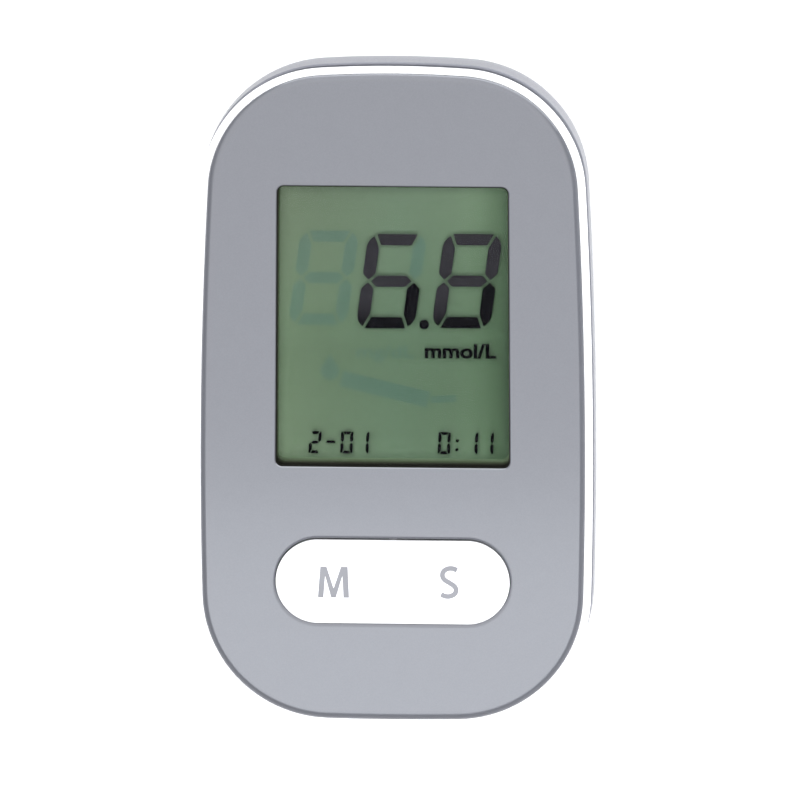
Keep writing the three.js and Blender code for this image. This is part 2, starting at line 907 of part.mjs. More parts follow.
function lcdHolder() {
  const bottom = boardTop + fit.seat;
  const top = deckBottom - fit.seat;
  const ring = glassPlate(holderHalfWidth, holderHalfLength, [bottom, top]);
  const seat = glassPlate(
    cellHalfWidth + fit.slide,
    cellHalfLength + fit.slide,
    [rearPlateBottom - fit.layer, top + overrun],
  );
  const clear = glassPlate(
    cellHalfWidth - holder.ledge,
    cellHalfLength + fit.slide,
    [bottom - overrun, top + overrun],
  );
  return cut(ring, [seat, clear]);
}

function elastomerStrip(end) {
  const outer = cellHalfLength - strips.inset;
  const ys = [outer - strips.width, outer].map((y) => paneY + end * y).sort((a, b) => a - b);
  const half = cellHalfWidth - holder.ledge - strips.endInset;
  return block([-half, half], ys, [boardTop + fit.layer, frontPlateBottom - fit.layer]);
}

// Main board and its parts, which hang from its underside

function mainBoard() {
  const through = [boardBottom - overrun, boardTop + overrun];
  const plate = prism(faceOutline(boardOffset), [boardBottom, boardTop]);
  const holes = [
    ...caseScrewPlaces.map(([x, y]) => upright(bossRadius + fit.loose, x, y, through)),
    ...boardScrewPlaces.map(([x, y]) =>
      upright(boardScrew.shankRadius + fit.loose, x, y, through, screwSides),
    ),
  ];
  return cut(plate, holes);
}

const hungBelow = (height) => [boardBottom - fit.layer - height, boardBottom - fit.layer];

// A chip in the column on one side, with its edge nearest the display at a place up the board.
function chip(side, topY, { width, length, height }) {
  const xs = [columnX, columnX + width].map((x) => side * x).sort((a, b) => a - b);
  return block(xs, [topY - length, topY], hungBelow(height));
}

const analogTopY = rowY - controller.length - rowGap;
const buzzerTopY = rowY - memory.length - rowGap;

function crystalCan() {
  const x = -(columnX + analog.width + rowGap + crystal.radius);
  const z = boardBottom - fit.layer - crystal.radius;
  return lengthwise(crystal.radius, x, [analogTopY - crystal.length, analogTopY], z, screwSides);
}

function buzzerCan() {
  const [low, high] = hungBelow(buzzer.height);
  const x = columnX + buzzer.radius;
  const y = buzzerTopY - buzzer.radius;
  const hole = upright(buzzer.holeRadius, x, y, [low - overrun, low + buzzer.holeDepth]);
  return upright(buzzer.radius, x, y, [low, high]).subtract(hole);
}

// Test-strip socket

const contactXs = Array.from(
  { length: port.contactCount },
  (_, i) => (i - (port.contactCount - 1) / 2) * port.contactPitch,
);
const ceiling = mouthTop + port.channelHeight;

function stripPort() {
  const body = block(
    [-port.halfWidth, port.halfWidth],
    [portFrontY, portBackY],
    [portTop - port.height, portTop],
  );
  const mouth = block(
    [-port.mouthHalfWidth, port.mouthHalfWidth],
    [portFrontY - overrun, portFrontY + port.mouthLength],
    [mouthBottom, mouthTop],
  );
  const channels = contactXs.map((x) =>
    block(
      [x - port.channelWidth / 2, x + port.channelWidth / 2],
      [portFrontY + port.funnel, portBackY + overrun],
      [mouthTop - port.contactThickness, ceiling],
    ),
  );
  return cut(body, [mouth, ...channels]);
}

// A sheet-metal strip that follows points in its side plane, as wide as asked, along X.
function ribbon(points, thickness, width) {
  const path = points.map(([y, z]) => new THREE.Vector2(y, z));
  const sideOf = (s) =>
    path.map((p, i) => {
      const before = path[Math.max(i - 1, 0)];
      const after = path[Math.min(i + 1, path.length - 1)];
      const ahead = i < path.length - 1 ? after.clone().sub(p).normalize() : null;
      const behind = i > 0 ? p.clone().sub(before).normalize() : null;
      const one = ahead ?? behind;
      const two = behind ?? ahead;
      const normal = new THREE.Vector2(-one.y - two.y, one.x + two.x).normalize();
      const stretch = 1 / normal.dot(new THREE.Vector2(-one.y, one.x));
      return p.clone().addScaledVector(normal, (s * stretch * thickness) / 2);
    });
  const outline = [...sideOf(-1), ...sideOf(1).reverse()];
  const geometry = new THREE.ExtrudeGeometry(new THREE.Shape(outline), {
    depth: width,
    bevelEnabled: false,
  });
  geometry.translate(0, 0, -width / 2);
  geometry.rotateY(Math.PI / 2);
  geometry.rotateX(Math.PI / 2);
  return solid(geometry);
}

function stripContact() {
  const half = port.contactThickness / 2;
  const top = ceiling - fit.seat - half;
  const tailY = portBackY + fit.loose + half;
  const dipY = portFrontY + port.mouthLength * port.dipShare;
  const points = [
    [tailY, boardBottom - fit.layer],
    [tailY, top],
    [portFrontY + port.mouthLength, top],
    [dipY, top - port.contactDip],
    [portFrontY + 2 * port.funnel, top - port.contactDip / 2],
  ];
  return ribbon(points, port.contactThickness, port.contactWidth);
}

// Batteries, springs and terminals

// One cell on its axis, its button end towards +Y.
function batteryCell() {
  const r = battery.radius;
  const e = battery.edgeRadius;
  const can = battery.length - battery.nubLength;
  const profile = [
    [0, 0],
    [r - e, 0],
    [r, e],
    [r, can - e],
    [r - e, can],
    [battery.nubRadius, can],
    [battery.nubRadius, battery.length],
    [0, battery.length],
  ].map(([x, y]) => new THREE.Vector2(x, y));
  return solid(new THREE.LatheGeometry(profile, roundSides));
}

class ConeCoil extends THREE.Curve {
  getPoint(t, target = new THREE.Vector3()) {
    const angle = t * spring.turns * 2 * Math.PI;
    const radius = THREE.MathUtils.lerp(spring.baseRadius, spring.tipRadius, t);
    const rise = spring.wireRadius + t * (spring.length - 2 * spring.wireRadius);
    return target.set(radius * Math.cos(angle), rise, radius * Math.sin(angle));
  }
}

// A coned coil that stands on its wide end and narrows towards +Y.
function coneSpring() {
  const section = new THREE.Shape(arc(new THREE.Vector2(), spring.wireRadius, 0, 2 * Math.PI, wireSides));
  return solid(
    new THREE.ExtrudeGeometry(section, {
      extrudePath: new ConeCoil(),
      steps: Math.round(spring.turns * spring.stepsPerTurn),
      bevelEnabled: false,
    }),
  );
}

const terminalZs = [batteryZ - terminal.height / 2, batteryZ + terminal.height / 2];
const lowPlateYs = [bayBottomY + fit.seat, bayBottomY + plateDepth];
const highPlateYs = [bayTopY - plateDepth, bayTopY - fit.seat];

function cellTerminal(side) {
  const x = side * batteryX;
  const plate = block([x - terminal.halfWidth, x + terminal.halfWidth], lowPlateYs, terminalZs);
  const tab = block(
    [x - terminal.tabHalfWidth, x + terminal.tabHalfWidth],
    lowPlateYs,
    [batteryZ, boardBottom - fit.seat],
  );
  return plate.add(tab);
}

function bridgeTerminal() {
  const half = batteryX + terminal.halfWidth;
  return block([-half, half], highPlateYs, terminalZs);
}

// Screws point up and stand on the lower face of their heads

const crownRadiusShare = 0.8;
const crownHeightShare = 0.4;
const crossReachShare = 0.65;

function screw({ headRadius, headHeight, shankRadius, length, crossWidth, crossDepth }) {
  const profile = [
    [0, 0],
    [headRadius * crownRadiusShare, 0],
    [headRadius, headHeight * crownHeightShare],
    [headRadius, headHeight],
    [shankRadius, headHeight],
    [shankRadius, headHeight + length - shankRadius],
    [shankRadius / 2, headHeight + length],
    [0, headHeight + length],
  ].map(([x, y]) => new THREE.Vector2(x, y));
  const body = new THREE.LatheGeometry(profile, screwSides);
  body.rotateX(Math.PI / 2);
  const arm = headRadius * crossReachShare;
  const half = crossWidth / 2;
  const slots = [
    block([-arm, arm], [-half, half], [-overrun, crossDepth]),
    block([-half, half], [-arm, arm], [-overrun, crossDepth]),
  ];
  return cut(solid(body), slots);
}

// Assembly

add('front_panel', frontPanel(), materials.silverPanel());
add('mid_frame', midFrame(), materials.whiteGloss());
add('rear_cover', rearCover(), materials.greyShell());
add('battery_door', batteryDoor(), materials.greyShell());
add('rocker_key', rockerKey(), materials.whiteGloss());

add('display_lens', displayLens(), materials.clearLens());
add('lcd_gasket', lcdGasket(), materials.foam());
add(
  'lcd_front_glass',
  glassPlate(cellHalfWidth, cellHalfLength, [frontPlateBottom, frontPlateTop]),
  materials.displayGlass(),
);
add(
  'lcd_rear_glass',
  glassPlate(cellHalfWidth, cellHalfLength - cell.ledge, [rearPlateBottom, rearPlateTop]),
  materials.displayGlass(),
);
add(
  'lcd_reflector',
  glassPlate(
    cellHalfWidth - cell.reflectorInset,
    cellHalfLength - cell.ledge - fit.loose,
    [reflectorBottom, reflectorTop],
  ),
  materials.displayGround(),
);
add('lcd_holder', lcdHolder(), materials.darkPlastic());
add('elastomer_strip_upper', elastomerStrip(1), materials.conductiveRubber());
add('elastomer_strip_lower', elastomerStrip(-1), materials.conductiveRubber());

add('main_board', mainBoard(), materials.board());
add('microcontroller', chip(-1, rowY, controller), materials.chip());
add('memory_chip', chip(1, rowY, memory), materials.chip());
add('analog_chip', chip(-1, analogTopY, analog), materials.chip());
add('crystal', crystalCan(), materials.steel());
add('buzzer', buzzerCan(), materials.chip());

for (const [letter, side] of [['m', -1], ['s', 1]]) {
  const place = [side * key.prongX, keyY, boardTop + fit.layer];
  add(`key_switch_${letter}_body`, tactBody(), materials.darkPlastic(), place);
  add(`key_switch_${letter}_plunger`, tactPlunger(), materials.darkPlastic(), place);
}

add('strip_port', stripPort(), materials.darkPlastic());
contactXs.forEach((x, i) => {
  add(`strip_contact_${i + 1}`, stripContact(), materials.gold(), [x, 0, 0]);
});

const springBaseY = lowPlateYs[1] + fit.loose / 3;
const springTopY = highPlateYs[0] - fit.loose / 3;
const leftCellY = highPlateYs[0] - fit.loose - battery.length;
const rightCellY = lowPlateYs[1] + fit.loose + battery.length;
add('battery_cell_left', batteryCell(), materials.batteryCan(), [-batteryX, leftCellY, batteryZ]);
add('battery_cell_right', batteryCell(), materials.batteryCan(), [batteryX, rightCellY, batteryZ], Math.PI);
add('terminal_negative', cellTerminal(-1), materials.steel());
add('terminal_positive', cellTerminal(1), materials.steel());
add('terminal_bridge', bridgeTerminal(), materials.steel());
add('terminal_spring', coneSpring(), materials.springSteel(), [-batteryX, springBaseY, batteryZ]);
add('bridge_spring', coneSpring(), materials.springSteel(), [batteryX, springTopY, batteryZ], Math.PI);

caseScrewPlaces.forEach(([x, y], i) => {
  const z = seatZ - fit.seat - caseScrew.headHeight;
  add(`case_screw_${i + 1}`, screw(caseScrew), materials.steel(), [x, y, z]);
});
boardScrewPlaces.forEach(([x, y], i) => {
  const z = boardBottom - fit.seat - boardScrew.headHeight;
  add(`board_screw_${i + 1}`, screw(boardScrew), materials.steel(), [x, y, z]);
});

export default meter;
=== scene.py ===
"""Looks for a blood glucose meter that lies on its back: shells, key, display, cells and screws."""

import math

import bpy
from mathutils import Matrix, Vector


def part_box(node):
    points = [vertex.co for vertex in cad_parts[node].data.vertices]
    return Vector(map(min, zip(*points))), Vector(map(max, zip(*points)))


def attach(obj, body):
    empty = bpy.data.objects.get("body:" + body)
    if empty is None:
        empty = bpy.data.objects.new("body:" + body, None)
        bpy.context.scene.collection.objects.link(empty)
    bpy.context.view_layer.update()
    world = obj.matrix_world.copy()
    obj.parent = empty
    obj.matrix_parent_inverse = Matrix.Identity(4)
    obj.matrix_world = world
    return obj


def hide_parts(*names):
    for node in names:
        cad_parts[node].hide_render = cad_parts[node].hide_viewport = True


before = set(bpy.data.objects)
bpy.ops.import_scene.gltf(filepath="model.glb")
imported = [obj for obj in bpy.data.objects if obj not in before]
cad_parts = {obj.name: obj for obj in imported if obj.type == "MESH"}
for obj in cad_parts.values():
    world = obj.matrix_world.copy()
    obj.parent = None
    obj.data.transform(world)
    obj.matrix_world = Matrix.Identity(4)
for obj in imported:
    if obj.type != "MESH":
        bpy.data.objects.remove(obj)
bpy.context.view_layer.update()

MM = 0.001  # every size below is in millimetres, and this turns it into metres

# Clearances

SEAT = 0.1
SLIDE = 0.15
LOOSE = 0.3
OVERRUN = 1.0

# Smoothness

END_STEPS = 14
CORNER_STEPS = 26
SIDE_STEPS = 22
BELLY_STEPS = 20
SHOULDER_STEPS = 8
BEVEL_STEPS = 10
LIP_STEPS = 14
RIM_STEPS = 4
SMALL_STEPS = 8
PILL_STEPS = 40
CURVE_STEPS = 8
TEXT_STEPS = 6
DROP_STEPS = 24
ROUND_SIDES = 64
SCREW_SIDES = 40
WIRE_SIDES = 12
POINT_SIDES = 32
COLON_SIDES = 16
SHARP_ANGLE = math.radians(32)
SOFTENED_ANGLE = math.radians(50)


def span(node):
    """The lowest and highest corner of a CAD node, in millimetres."""
    low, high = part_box(node)
    return low / MM, high / MM


# Sizes that the frame gives

PANEL_LOW, PANEL_HIGH = span("front_panel")
FRAME_HIGH = span("mid_frame")[1]
COVER_HIGH = span("rear_cover")[1]
DOOR_LOW, DOOR_HIGH = span("battery_door")
KEY_LOW, KEY_HIGH = span("rocker_key")
LENS_LOW, LENS_HIGH = span("display_lens")
GASKET_LOW, GASKET_HIGH = span("lcd_gasket")

# Outline of the face plate, made of arcs that meet smoothly

HALF_WIDTH = PANEL_HIGH.x
HALF_LENGTH = PANEL_HIGH.y
WIDEST_Y = -10.2
SIDE_RADIUS = 690.0
TOP_RADIUS = 150.0
BOTTOM_RADIUS = 370.0
TOP_CORNER_RADIUS = 15.6
BOTTOM_CORNER_RADIUS = 16.7

# Face plate and window

BEVEL_WIDTH = 0.7
BEVEL_TILTS = (math.radians(16), math.radians(52))  # at its inner and outer side
BEVEL_POWER = 1.4  # over 1, the tilt grows faster towards the outer side
SUPPORT_WIDTH = 0.3
PANE_TOP_BORDER = 14.75
PANE_TOP_Y = HALF_LENGTH - PANE_TOP_BORDER
PANE_BOTTOM_Y = -9.15
PANE_TOP_HALF_WIDTH = 15.08
PANE_BOTTOM_HALF_WIDTH = 15.33
PANE_CORNER_RADIUS = 0.92
PANE_EDGE_ROUND = 0.12

# White upper housing

LIP_GAP = 0.1
LIP_WIDTH = 0.75
LIP_ROUND = 1.1
LIP_TOP = FRAME_HIGH.z
CASE_OFFSET = LIP_GAP + LIP_WIDTH
PARTING_GAP = 0.15
SIDE_SPREAD = 0.13  # how much further the lip reaches at the sides than at the ends
DRAW_IN = 0.3  # how far the white side walls lean inwards down to the parting line
LIP_EDGE = 0.07
LIP_GAP_BELOW = 0.02  # between lip and face plate, under the shallow groove that shows
PARTING_Z = COVER_HIGH.z + PARTING_GAP
DECK_TOP = PANEL_LOW.z - SEAT
DECK_THICKNESS = 1.2
DECK_BOTTOM = DECK_TOP - DECK_THICKNESS
TONGUE_DEPTH = 1.4
TONGUE_WALL = 0.9
TONGUE_INSET = 2.0
TONGUE_OFFSET = CASE_OFFSET - TONGUE_INSET
CAVITY_OFFSET = TONGUE_OFFSET - TONGUE_WALL
LENS_MARGIN = 1.3
LENS_CORNER_RADIUS = 1.2

# Grey lower shell

SHELL_INSET = 0.15
SHELL_WALL = 1.7
SHELL_OFFSET = CASE_OFFSET - SHELL_INSET
SHELL_INNER_OFFSET = SHELL_OFFSET - SHELL_WALL
SHELL_TOP = COVER_HIGH.z
SHELL_FLOOR = 2.0
BELLY_INSET = 5.0
BELLY_HEIGHT = 11.0
BULGE = 0.3  # how far the sides swell out below the rim
RIM_OFFSET = 0.95  # of the thin outer edge of the rim, from the face plate's outline
RIM_WIDTH = 0.28
RIM_DROP = 0.4  # the outer edge ends so far below the rest of the rim
RIM_ROUND = 0.22
CHANNEL_OFFSET = 0.3  # of the wall behind the channel that shows as the parting line
CHANNEL_DROP = 0.6
EDGE_SOFTENING = 0.12

# Key

KEY_Y = (KEY_LOW.y + KEY_HIGH.y) / 2
KEY_GROWTH = 0.07  # the finished key fills its opening a little more than its plain solid
KEY_HALF_LENGTH = KEY_HIGH.x + KEY_GROWTH
KEY_FACE_HALF_HEIGHT = 5.55
KEY_HALF_HEIGHT = KEY_FACE_HALF_HEIGHT + KEY_GROWTH
KEY_THICKNESS = 1.4
KEY_TOP = KEY_HIGH.z
KEY_BOTTOM = KEY_TOP - KEY_THICKNESS
KEY_GAP = 0.09
KEY_SIDE_GAP = 0.04  # between the key and the lower long side of its opening
KEY_EXTRA_GAP = 0.18  # how much wider the gap is at the upper long side
KEY_RISE = 0.13  # the finished key's middle lies so far towards the display from its pin's middle
KEY_EDGE_WIDTH = 0.7
KEY_EDGE_DROP = 0.32
KEY_PIVOT_Z = 17.05
KEY_PIN_RADIUS = 0.55
PIN_REACH = (KEY_HIGH.y - KEY_LOW.y) / 2
SADDLE_WALL = 1.1
SADDLE_FLOOR = 0.6
RIB_HALF_WIDTH = 1.0
RIB_INSET = 0.35
RIB_DROP = 0.3  # how far the rib reaches below the pin's axis
KEY_LEG_X = 7.6
KEY_LEG_RADIUS = 1.1
CHAMFER_WIDTH = 0.42
CHAMFER_DEPTH = 0.24
WELL_GAP = 0.45
DIVIDER_X = 0.03
DIVIDER_RISE = 0.85
DIVIDER_Y = KEY_Y + DIVIDER_RISE
DIVIDER_HALF_WIDTH = 0.14
DIVIDER_HALF_LENGTH = 4.0
DIVIDER_DEPTH = 0.4
DIVIDER_ROUND = 0.06
DIVIDER_END_SHARE = 0.98  # how round its ends are, of its half width
LETTER_THICKNESS = 0.012
LETTER_HEIGHT = 4.12
M_WIDTH = 4.1
M_CENTRE = Vector((-7.72, 0.1))
S_WIDTH = 2.4
S_CENTRE = Vector((7.42, 0.22))
S_STROKE = 0.66

# Battery compartment and door

BAY_HALF_WIDTH = 11.0
BAY_TOP_BORDER = 3.5
DOOR_OVERLAP = 2.2  # how far the door reaches past the bay's lower end
BAY_TOP_Y = HALF_LENGTH - BAY_TOP_BORDER
BAY_BOTTOM_Y = DOOR_LOW.y + DOOR_OVERLAP
BAY_WALL = 1.1
BAY_ROOF = 0.8
BATTERY_RADIUS = 5.25
BATTERY_X = 5.45
BATTERY_Z = 7.05
ROOF_BOTTOM = BATTERY_Z + BATTERY_RADIUS + SLIDE
ROOF_TOP = ROOF_BOTTOM + BAY_ROOF
DOOR_HALF_WIDTH = DOOR_HIGH.x
DOOR_RECESS = 0.2
DOOR_SKIN = 0.9
DOOR_TOP = DOOR_RECESS + DOOR_SKIN
DOOR_STIFFENER = 0.4
DOOR_TRAVEL = 6.0
TAB_LENGTH = 5.0
TAB_REACH = 1.5
TAB_OUTER_X = BAY_HALF_WIDTH + TAB_REACH
TAB_THICKNESS = 0.85
TAB_RIB = 0.8
TAB_BORDERS = (6.8, 17.2)  # from the bay's lower and upper end
TAB_YS = (BAY_BOTTOM_Y + TAB_BORDERS[0], BAY_TOP_Y - TAB_BORDERS[1])
TAB_BOTTOM = SHELL_FLOOR + SLIDE
TAB_TOP = TAB_BOTTOM + TAB_THICKNESS
GROOVE_COUNT = 5
GROOVE_WIDTH = 0.9
GROOVE_PITCH = 1.9
GROOVE_DEPTH = 0.38
GROOVE_FLOOR_HALF_WIDTH = GROOVE_WIDTH / 5
GROOVE_HALF_LENGTH = 7.0
GROOVE_BORDER = 3.5
FIRST_GROOVE_Y = DOOR_LOW.y + GROOVE_BORDER
PLATE_DEPTH = 0.4
PLATE_TAB_MARGIN = 1.1

# Strip slot

SLOT_Z = 11.15
SLOT_HALF_WIDTH = 4.6
SLOT_HALF_HEIGHT = 0.9
SLOT_FUNNEL = 0.7

# Screws

SCREW_NODES = [f"case_screw_{i}" for i in range(1, 5)]
SCREW_HEAD_RADIUS = 1.9
SCREW_HEAD_HEIGHT = 1.3
SCREW_SHANK_RADIUS = 0.95
SCREW_LENGTH = 9.0
SCREW_SEAT_Z = span(SCREW_NODES[0])[0].z + SCREW_HEAD_HEIGHT + SEAT
SCREW_TIP_Z = span(SCREW_NODES[0])[1].z
SCREW_TUBE_WALL = 1.0
SCREW_CROSS_WIDTH = 0.5
SCREW_CROSS_REACH = 1.15
SCREW_CROSS_DEPTH = 0.75
BOSS_WALL = 1.25
BOSS_RADIUS = SCREW_SHANK_RADIUS + SLIDE + BOSS_WALL
BOARD_SCREW_NODES = [f"board_screw_{i}" for i in range(1, 5)]
BOARD_SHANK_RADIUS = 0.65
BOARD_BOSS_RADIUS = BOARD_SHANK_RADIUS + SLIDE + BOSS_WALL / 2
BOARD_SCREW_TIP_Z = span(BOARD_SCREW_NODES[0])[1].z
BOARD_TOP = span("main_board")[1].z

# Outlines


def arc(centre, radius, start, stop, steps):
    """Points on an arc from one angle up to, but not including, another."""
    angles = (start + (stop - start) * i / steps for i in range(steps))
    return [centre + radius * Vector((math.cos(a), math.sin(a))) for a in angles]


def meeting(centre_a, radius_a, centre_b, radius_b):
    """Where two circles meet, on their right-hand side."""
    between = centre_b - centre_a
    distance = between.length
    along = (radius_a**2 - radius_b**2 + distance**2) / (2 * distance)
    across = math.sqrt(max(radius_a**2 - along**2, 0))
    unit = between.normalized()
    foot = centre_a + along * unit
    ends = [foot + s * Vector((-unit.y, unit.x)) for s in (across, -across)]
    return max(ends, key=lambda p: p.x)


def heading(start, stop):
    return math.atan2(stop.y - start.y, stop.x - start.x)


def face_outline(offset):
    """The face plate's outline, moved outwards by an offset, counter-clockwise from its lowest point."""
    side = Vector((HALF_WIDTH - SIDE_RADIUS, WIDEST_Y))
    top = Vector((0, HALF_LENGTH - TOP_RADIUS))
    bottom = Vector((0, BOTTOM_RADIUS - HALF_LENGTH))

    def corner(end, end_radius, radius):
        return meeting(end, end_radius - radius, side, SIDE_RADIUS - radius)

    high = corner(top, TOP_RADIUS, TOP_CORNER_RADIUS)
    low = corner(bottom, BOTTOM_RADIUS, BOTTOM_CORNER_RADIUS)
    quarter = math.pi / 2
    low_start, low_end = heading(bottom, low), heading(side, low)
    high_start, high_end = heading(side, high), heading(top, high)
    right = [
        *arc(bottom, BOTTOM_RADIUS + offset, -quarter, low_start, END_STEPS),
        *arc(low, BOTTOM_CORNER_RADIUS + offset, low_start, low_end, CORNER_STEPS),
        *arc(side, SIDE_RADIUS + offset, low_end, high_start, SIDE_STEPS),
        *arc(high, TOP_CORNER_RADIUS + offset, high_start, high_end, CORNER_STEPS),
        *arc(top, TOP_RADIUS + offset, high_end, quarter, END_STEPS),
    ]
    left = [Vector((-p.x, p.y)) for p in reversed(right[1:])]
    return [*right, Vector((0, HALF_LENGTH + offset)), *left]


def rounded_outline(low_half, high_half, y0, y1, radius, steps=SMALL_STEPS):
    """A four-sided outline with round corners, as wide as asked at its lower and upper end."""
    corners = [
        (low_half - radius, y0 + radius),
        (high_half - radius, y1 - radius),
        (radius - high_half, y1 - radius),
        (radius - low_half, y0 + radius),
    ]
    points = []
    for i, place in enumerate(corners):
        start, stop = (i - 1) * math.pi / 2, i * math.pi / 2
        centre = Vector(place)
        points += arc(centre, radius, start, stop, steps)
        points.append(centre + radius * Vector((math.cos(stop), math.sin(stop))))
    return points


def pill_outline(half_length, half_height, y, steps=PILL_STEPS):
    reach = half_length - half_height
    points = []
    for side in (-1, 1):
        centre = Vector((-side * reach, y))
        start = side * math.pi / 2
        points += arc(centre, half_height, start, start + math.pi, steps)
        points.append(centre + Vector((0, -side * half_height)))
    return points


def pane_outline(offset, radius):
    return rounded_outline(
        PANE_BOTTOM_HALF_WIDTH + offset,
        PANE_TOP_HALF_WIDTH + offset,
        PANE_BOTTOM_Y - offset,
        PANE_TOP_Y + offset,
        radius,
    )


def circle(x, y, radius, sides=ROUND_SIDES):
    return arc(Vector((x, y)), radius, 0, 2 * math.pi, sides)


# Mesh tools


def at_height(outline, z):
    return [Vector((p.x, p.y, z)) for p in outline]


def quarter_round(steps):
    """How far in and how far below its crest a rounded edge lies, as shares, from its foot up."""
    angles = (i / steps * math.pi / 2 for i in range(steps + 1))
    return [(1 - math.cos(a), 1 - math.sin(a)) for a in angles]


def loft(rings):
    """Joins matching rings, lowest first and each counter-clockwise from above, into points and faces."""
    count = len(rings[0])
    points = [p for ring in rings for p in ring]
    faces = []
    for level in range(len(rings) - 1):
        for i in range(count):
            a = level * count + i
            b = level * count + (i + 1) % count
            faces.append((a, b, b + count, a + count))
    faces.append(tuple(reversed(range(count))))
    faces.append(tuple(range(len(points) - count, len(points))))
    return points, faces


def prism(outline, z0, z1):
    return loft([at_height(outline, z0), at_height(outline, z1)])


def block(x0, x1, y0, y1, z0, z1):
    corners = [Vector(p) for p in ((x0, y0), (x1, y0), (x1, y1), (x0, y1))]
    return prism(corners, z0, z1)


def lathe(profile, sides):
    """Turns (radius, height) points about Z. The profile starts and ends on the axis."""
    rings = [circle(0, 0, r, sides) for r, _ in profile[1:-1]]
    points = [Vector((p.x, p.y, z)) for ring, (_, z) in zip(rings, profile[1:-1]) for p in ring]
    first, last = len(points), len(points) + 1
    points += [Vector((0, 0, profile[0][1])), Vector((0, 0, profile[-1][1]))]
    top = (len(rings) - 1) * sides
    faces = []
    for i in range(sides):
        j = (i + 1) % sides
        faces.append((first, j, i))
        faces.append((top + i, top + j, last))
        for level in range(len(rings) - 1):
            a = level * sides
            faces.append((a + i, a + j, a + sides + j, a + sides + i))
    return points, faces


def tube(path, radius):
    """A round wire along points, with closed ends."""
    rings = []
    normal = None
    for i, p in enumerate(path):
        ahead = path[min(i + 1, len(path) - 1)] - path[max(i - 1, 0)]
        ahead.normalize()
        if normal is None:
            normal = ahead.orthogonal().normalized()
        normal = (normal - normal.dot(ahead) * ahead).normalized()
        across = ahead.cross(normal)
        turns = (2 * math.pi * k / WIRE_SIDES for k in range(WIRE_SIDES))
        rings.append([p + radius * (math.cos(a) * normal + math.sin(a) * across) for a in turns])
    return loft(rings)


def placed(name, data):
    """A new object in the scene."""
    made = bpy.data.objects.new(name, data)
    bpy.context.scene.collection.objects.link(made)
    return made


def raw_object(name, shape):
    points, faces = shape
    mesh = bpy.data.meshes.new(name)
    mesh.from_pydata([p * MM for p in points], [], faces)
    mesh.validate()
    return placed(name, mesh)


def evaluated(made):
    """The object with its modifiers applied."""
    depsgraph = bpy.context.evaluated_depsgraph_get()
    mesh = bpy.data.meshes.new_from_object(made.evaluated_get(depsgraph))
    made.modifiers.clear()
    old = made.data
    made.data = mesh
    bpy.data.meshes.remove(old)
    return made


def combine(made, shapes, operation):
    """Joins, cuts or keeps what is common between an object and closed shapes or spare objects."""
    tools = [
        raw_object(f"{made.name}_tool", shape) if isinstance(shape, tuple) else shape for shape in shapes
    ]
    for tool in tools:
        step = made.modifiers.new("shape", "BOOLEAN")
        step.operation = operation
        step.solver = "MANIFOLD"
        step.object = tool
    bpy.context.view_layer.update()
    evaluated(made)
    for tool in tools:
        mesh = tool.data
        bpy.data.objects.remove(tool)
        bpy.data.meshes.remove(mesh)
    return made


def soften(made, width):
    step = made.modifiers.new("soften", "BEVEL")
    step.width = width * MM
    step.segments = 2
    step.limit_method = "ANGLE"
    step.angle_limit = SOFTENED_ANGLE
    step.use_clamp_overlap = True
    step.harden_normals = False
    return evaluated(made)


def dress(made, body, material):
    """Gives a piece its shading, its material and the body that it rides on."""
    mesh = made.data
    mesh.materials.clear()
    mesh.materials.append(material)
    mesh.shade_smooth()
    mesh.set_sharp_from_angle(angle=SHARP_ANGLE)
    step = made.modifiers.new("even_shading", "WEIGHTED_NORMAL")
    step.keep_sharp = True
    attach(made, body)


def stand_in(made, body, slot, *nodes):
    """Dresses a piece in a slot's material, in place of the CAD nodes that it stands for."""
    dress(made, body, MATERIALS[slot])
    if nodes:
        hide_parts(*nodes)


# Materials
# A noise is given by the width of its grains in millimetres, its detail and its distortion

WHITE = (1.0, 1.0, 1.0, 1.0)
NOISE_BAND = (0.3, 0.7)  # the values that noise mostly lies between
FINE_RELIEF = 0.0015
SILVER_TONE = (93, 95, 102)
FLAKES = (0.16, 1.0)
FLAKE_SHADES = [(0.32, 0.93), (0.5, 1.0), (0.7, 1.08)]
FLAKE_ROUGHNESS = (0.34, 0.46)
CLOUDS = (2.4, 3.0)
CLOUD_SHADES = (0.97, 1.03)
CLOUD_SHARE = 0.4
GRAIN_DETAIL = 3.0
PATCH_WIDTH = 40  # how much broader than its grain the unevenness of moulded plastic is
PATCH_DETAIL = 2.0
MOULDED_GLOSS = (0.88, 1.12)  # shares of its roughness that a surface varies between
METAL_GLOSS = (0.8, 1.25)
METAL_GRAIN = (0.12, 4.0)
METAL_CLOUDS = (1.68, 2.0, 0.6)
METAL_SPREAD = 0.08
GROUND_SPAN_X = (-15.2, 15.5)
GROUND_SPAN_Y = (-9.2, 28.0)
GROUND_LEVEL = 2.24
# Painted reflection and shade: the backing is painted paler towards the left, where the lens reflects
# light, and darker along the right edge, where shade falls
GROUND_TONES_PAINTED_LIGHT_AND_SHADE = [
    (0.0, (118, 138, 111)), (0.5, (108, 132, 107)), (0.8, (99, 122, 97)),
    (0.93, (78, 100, 76)), (1.0, (66, 86, 66)),
]
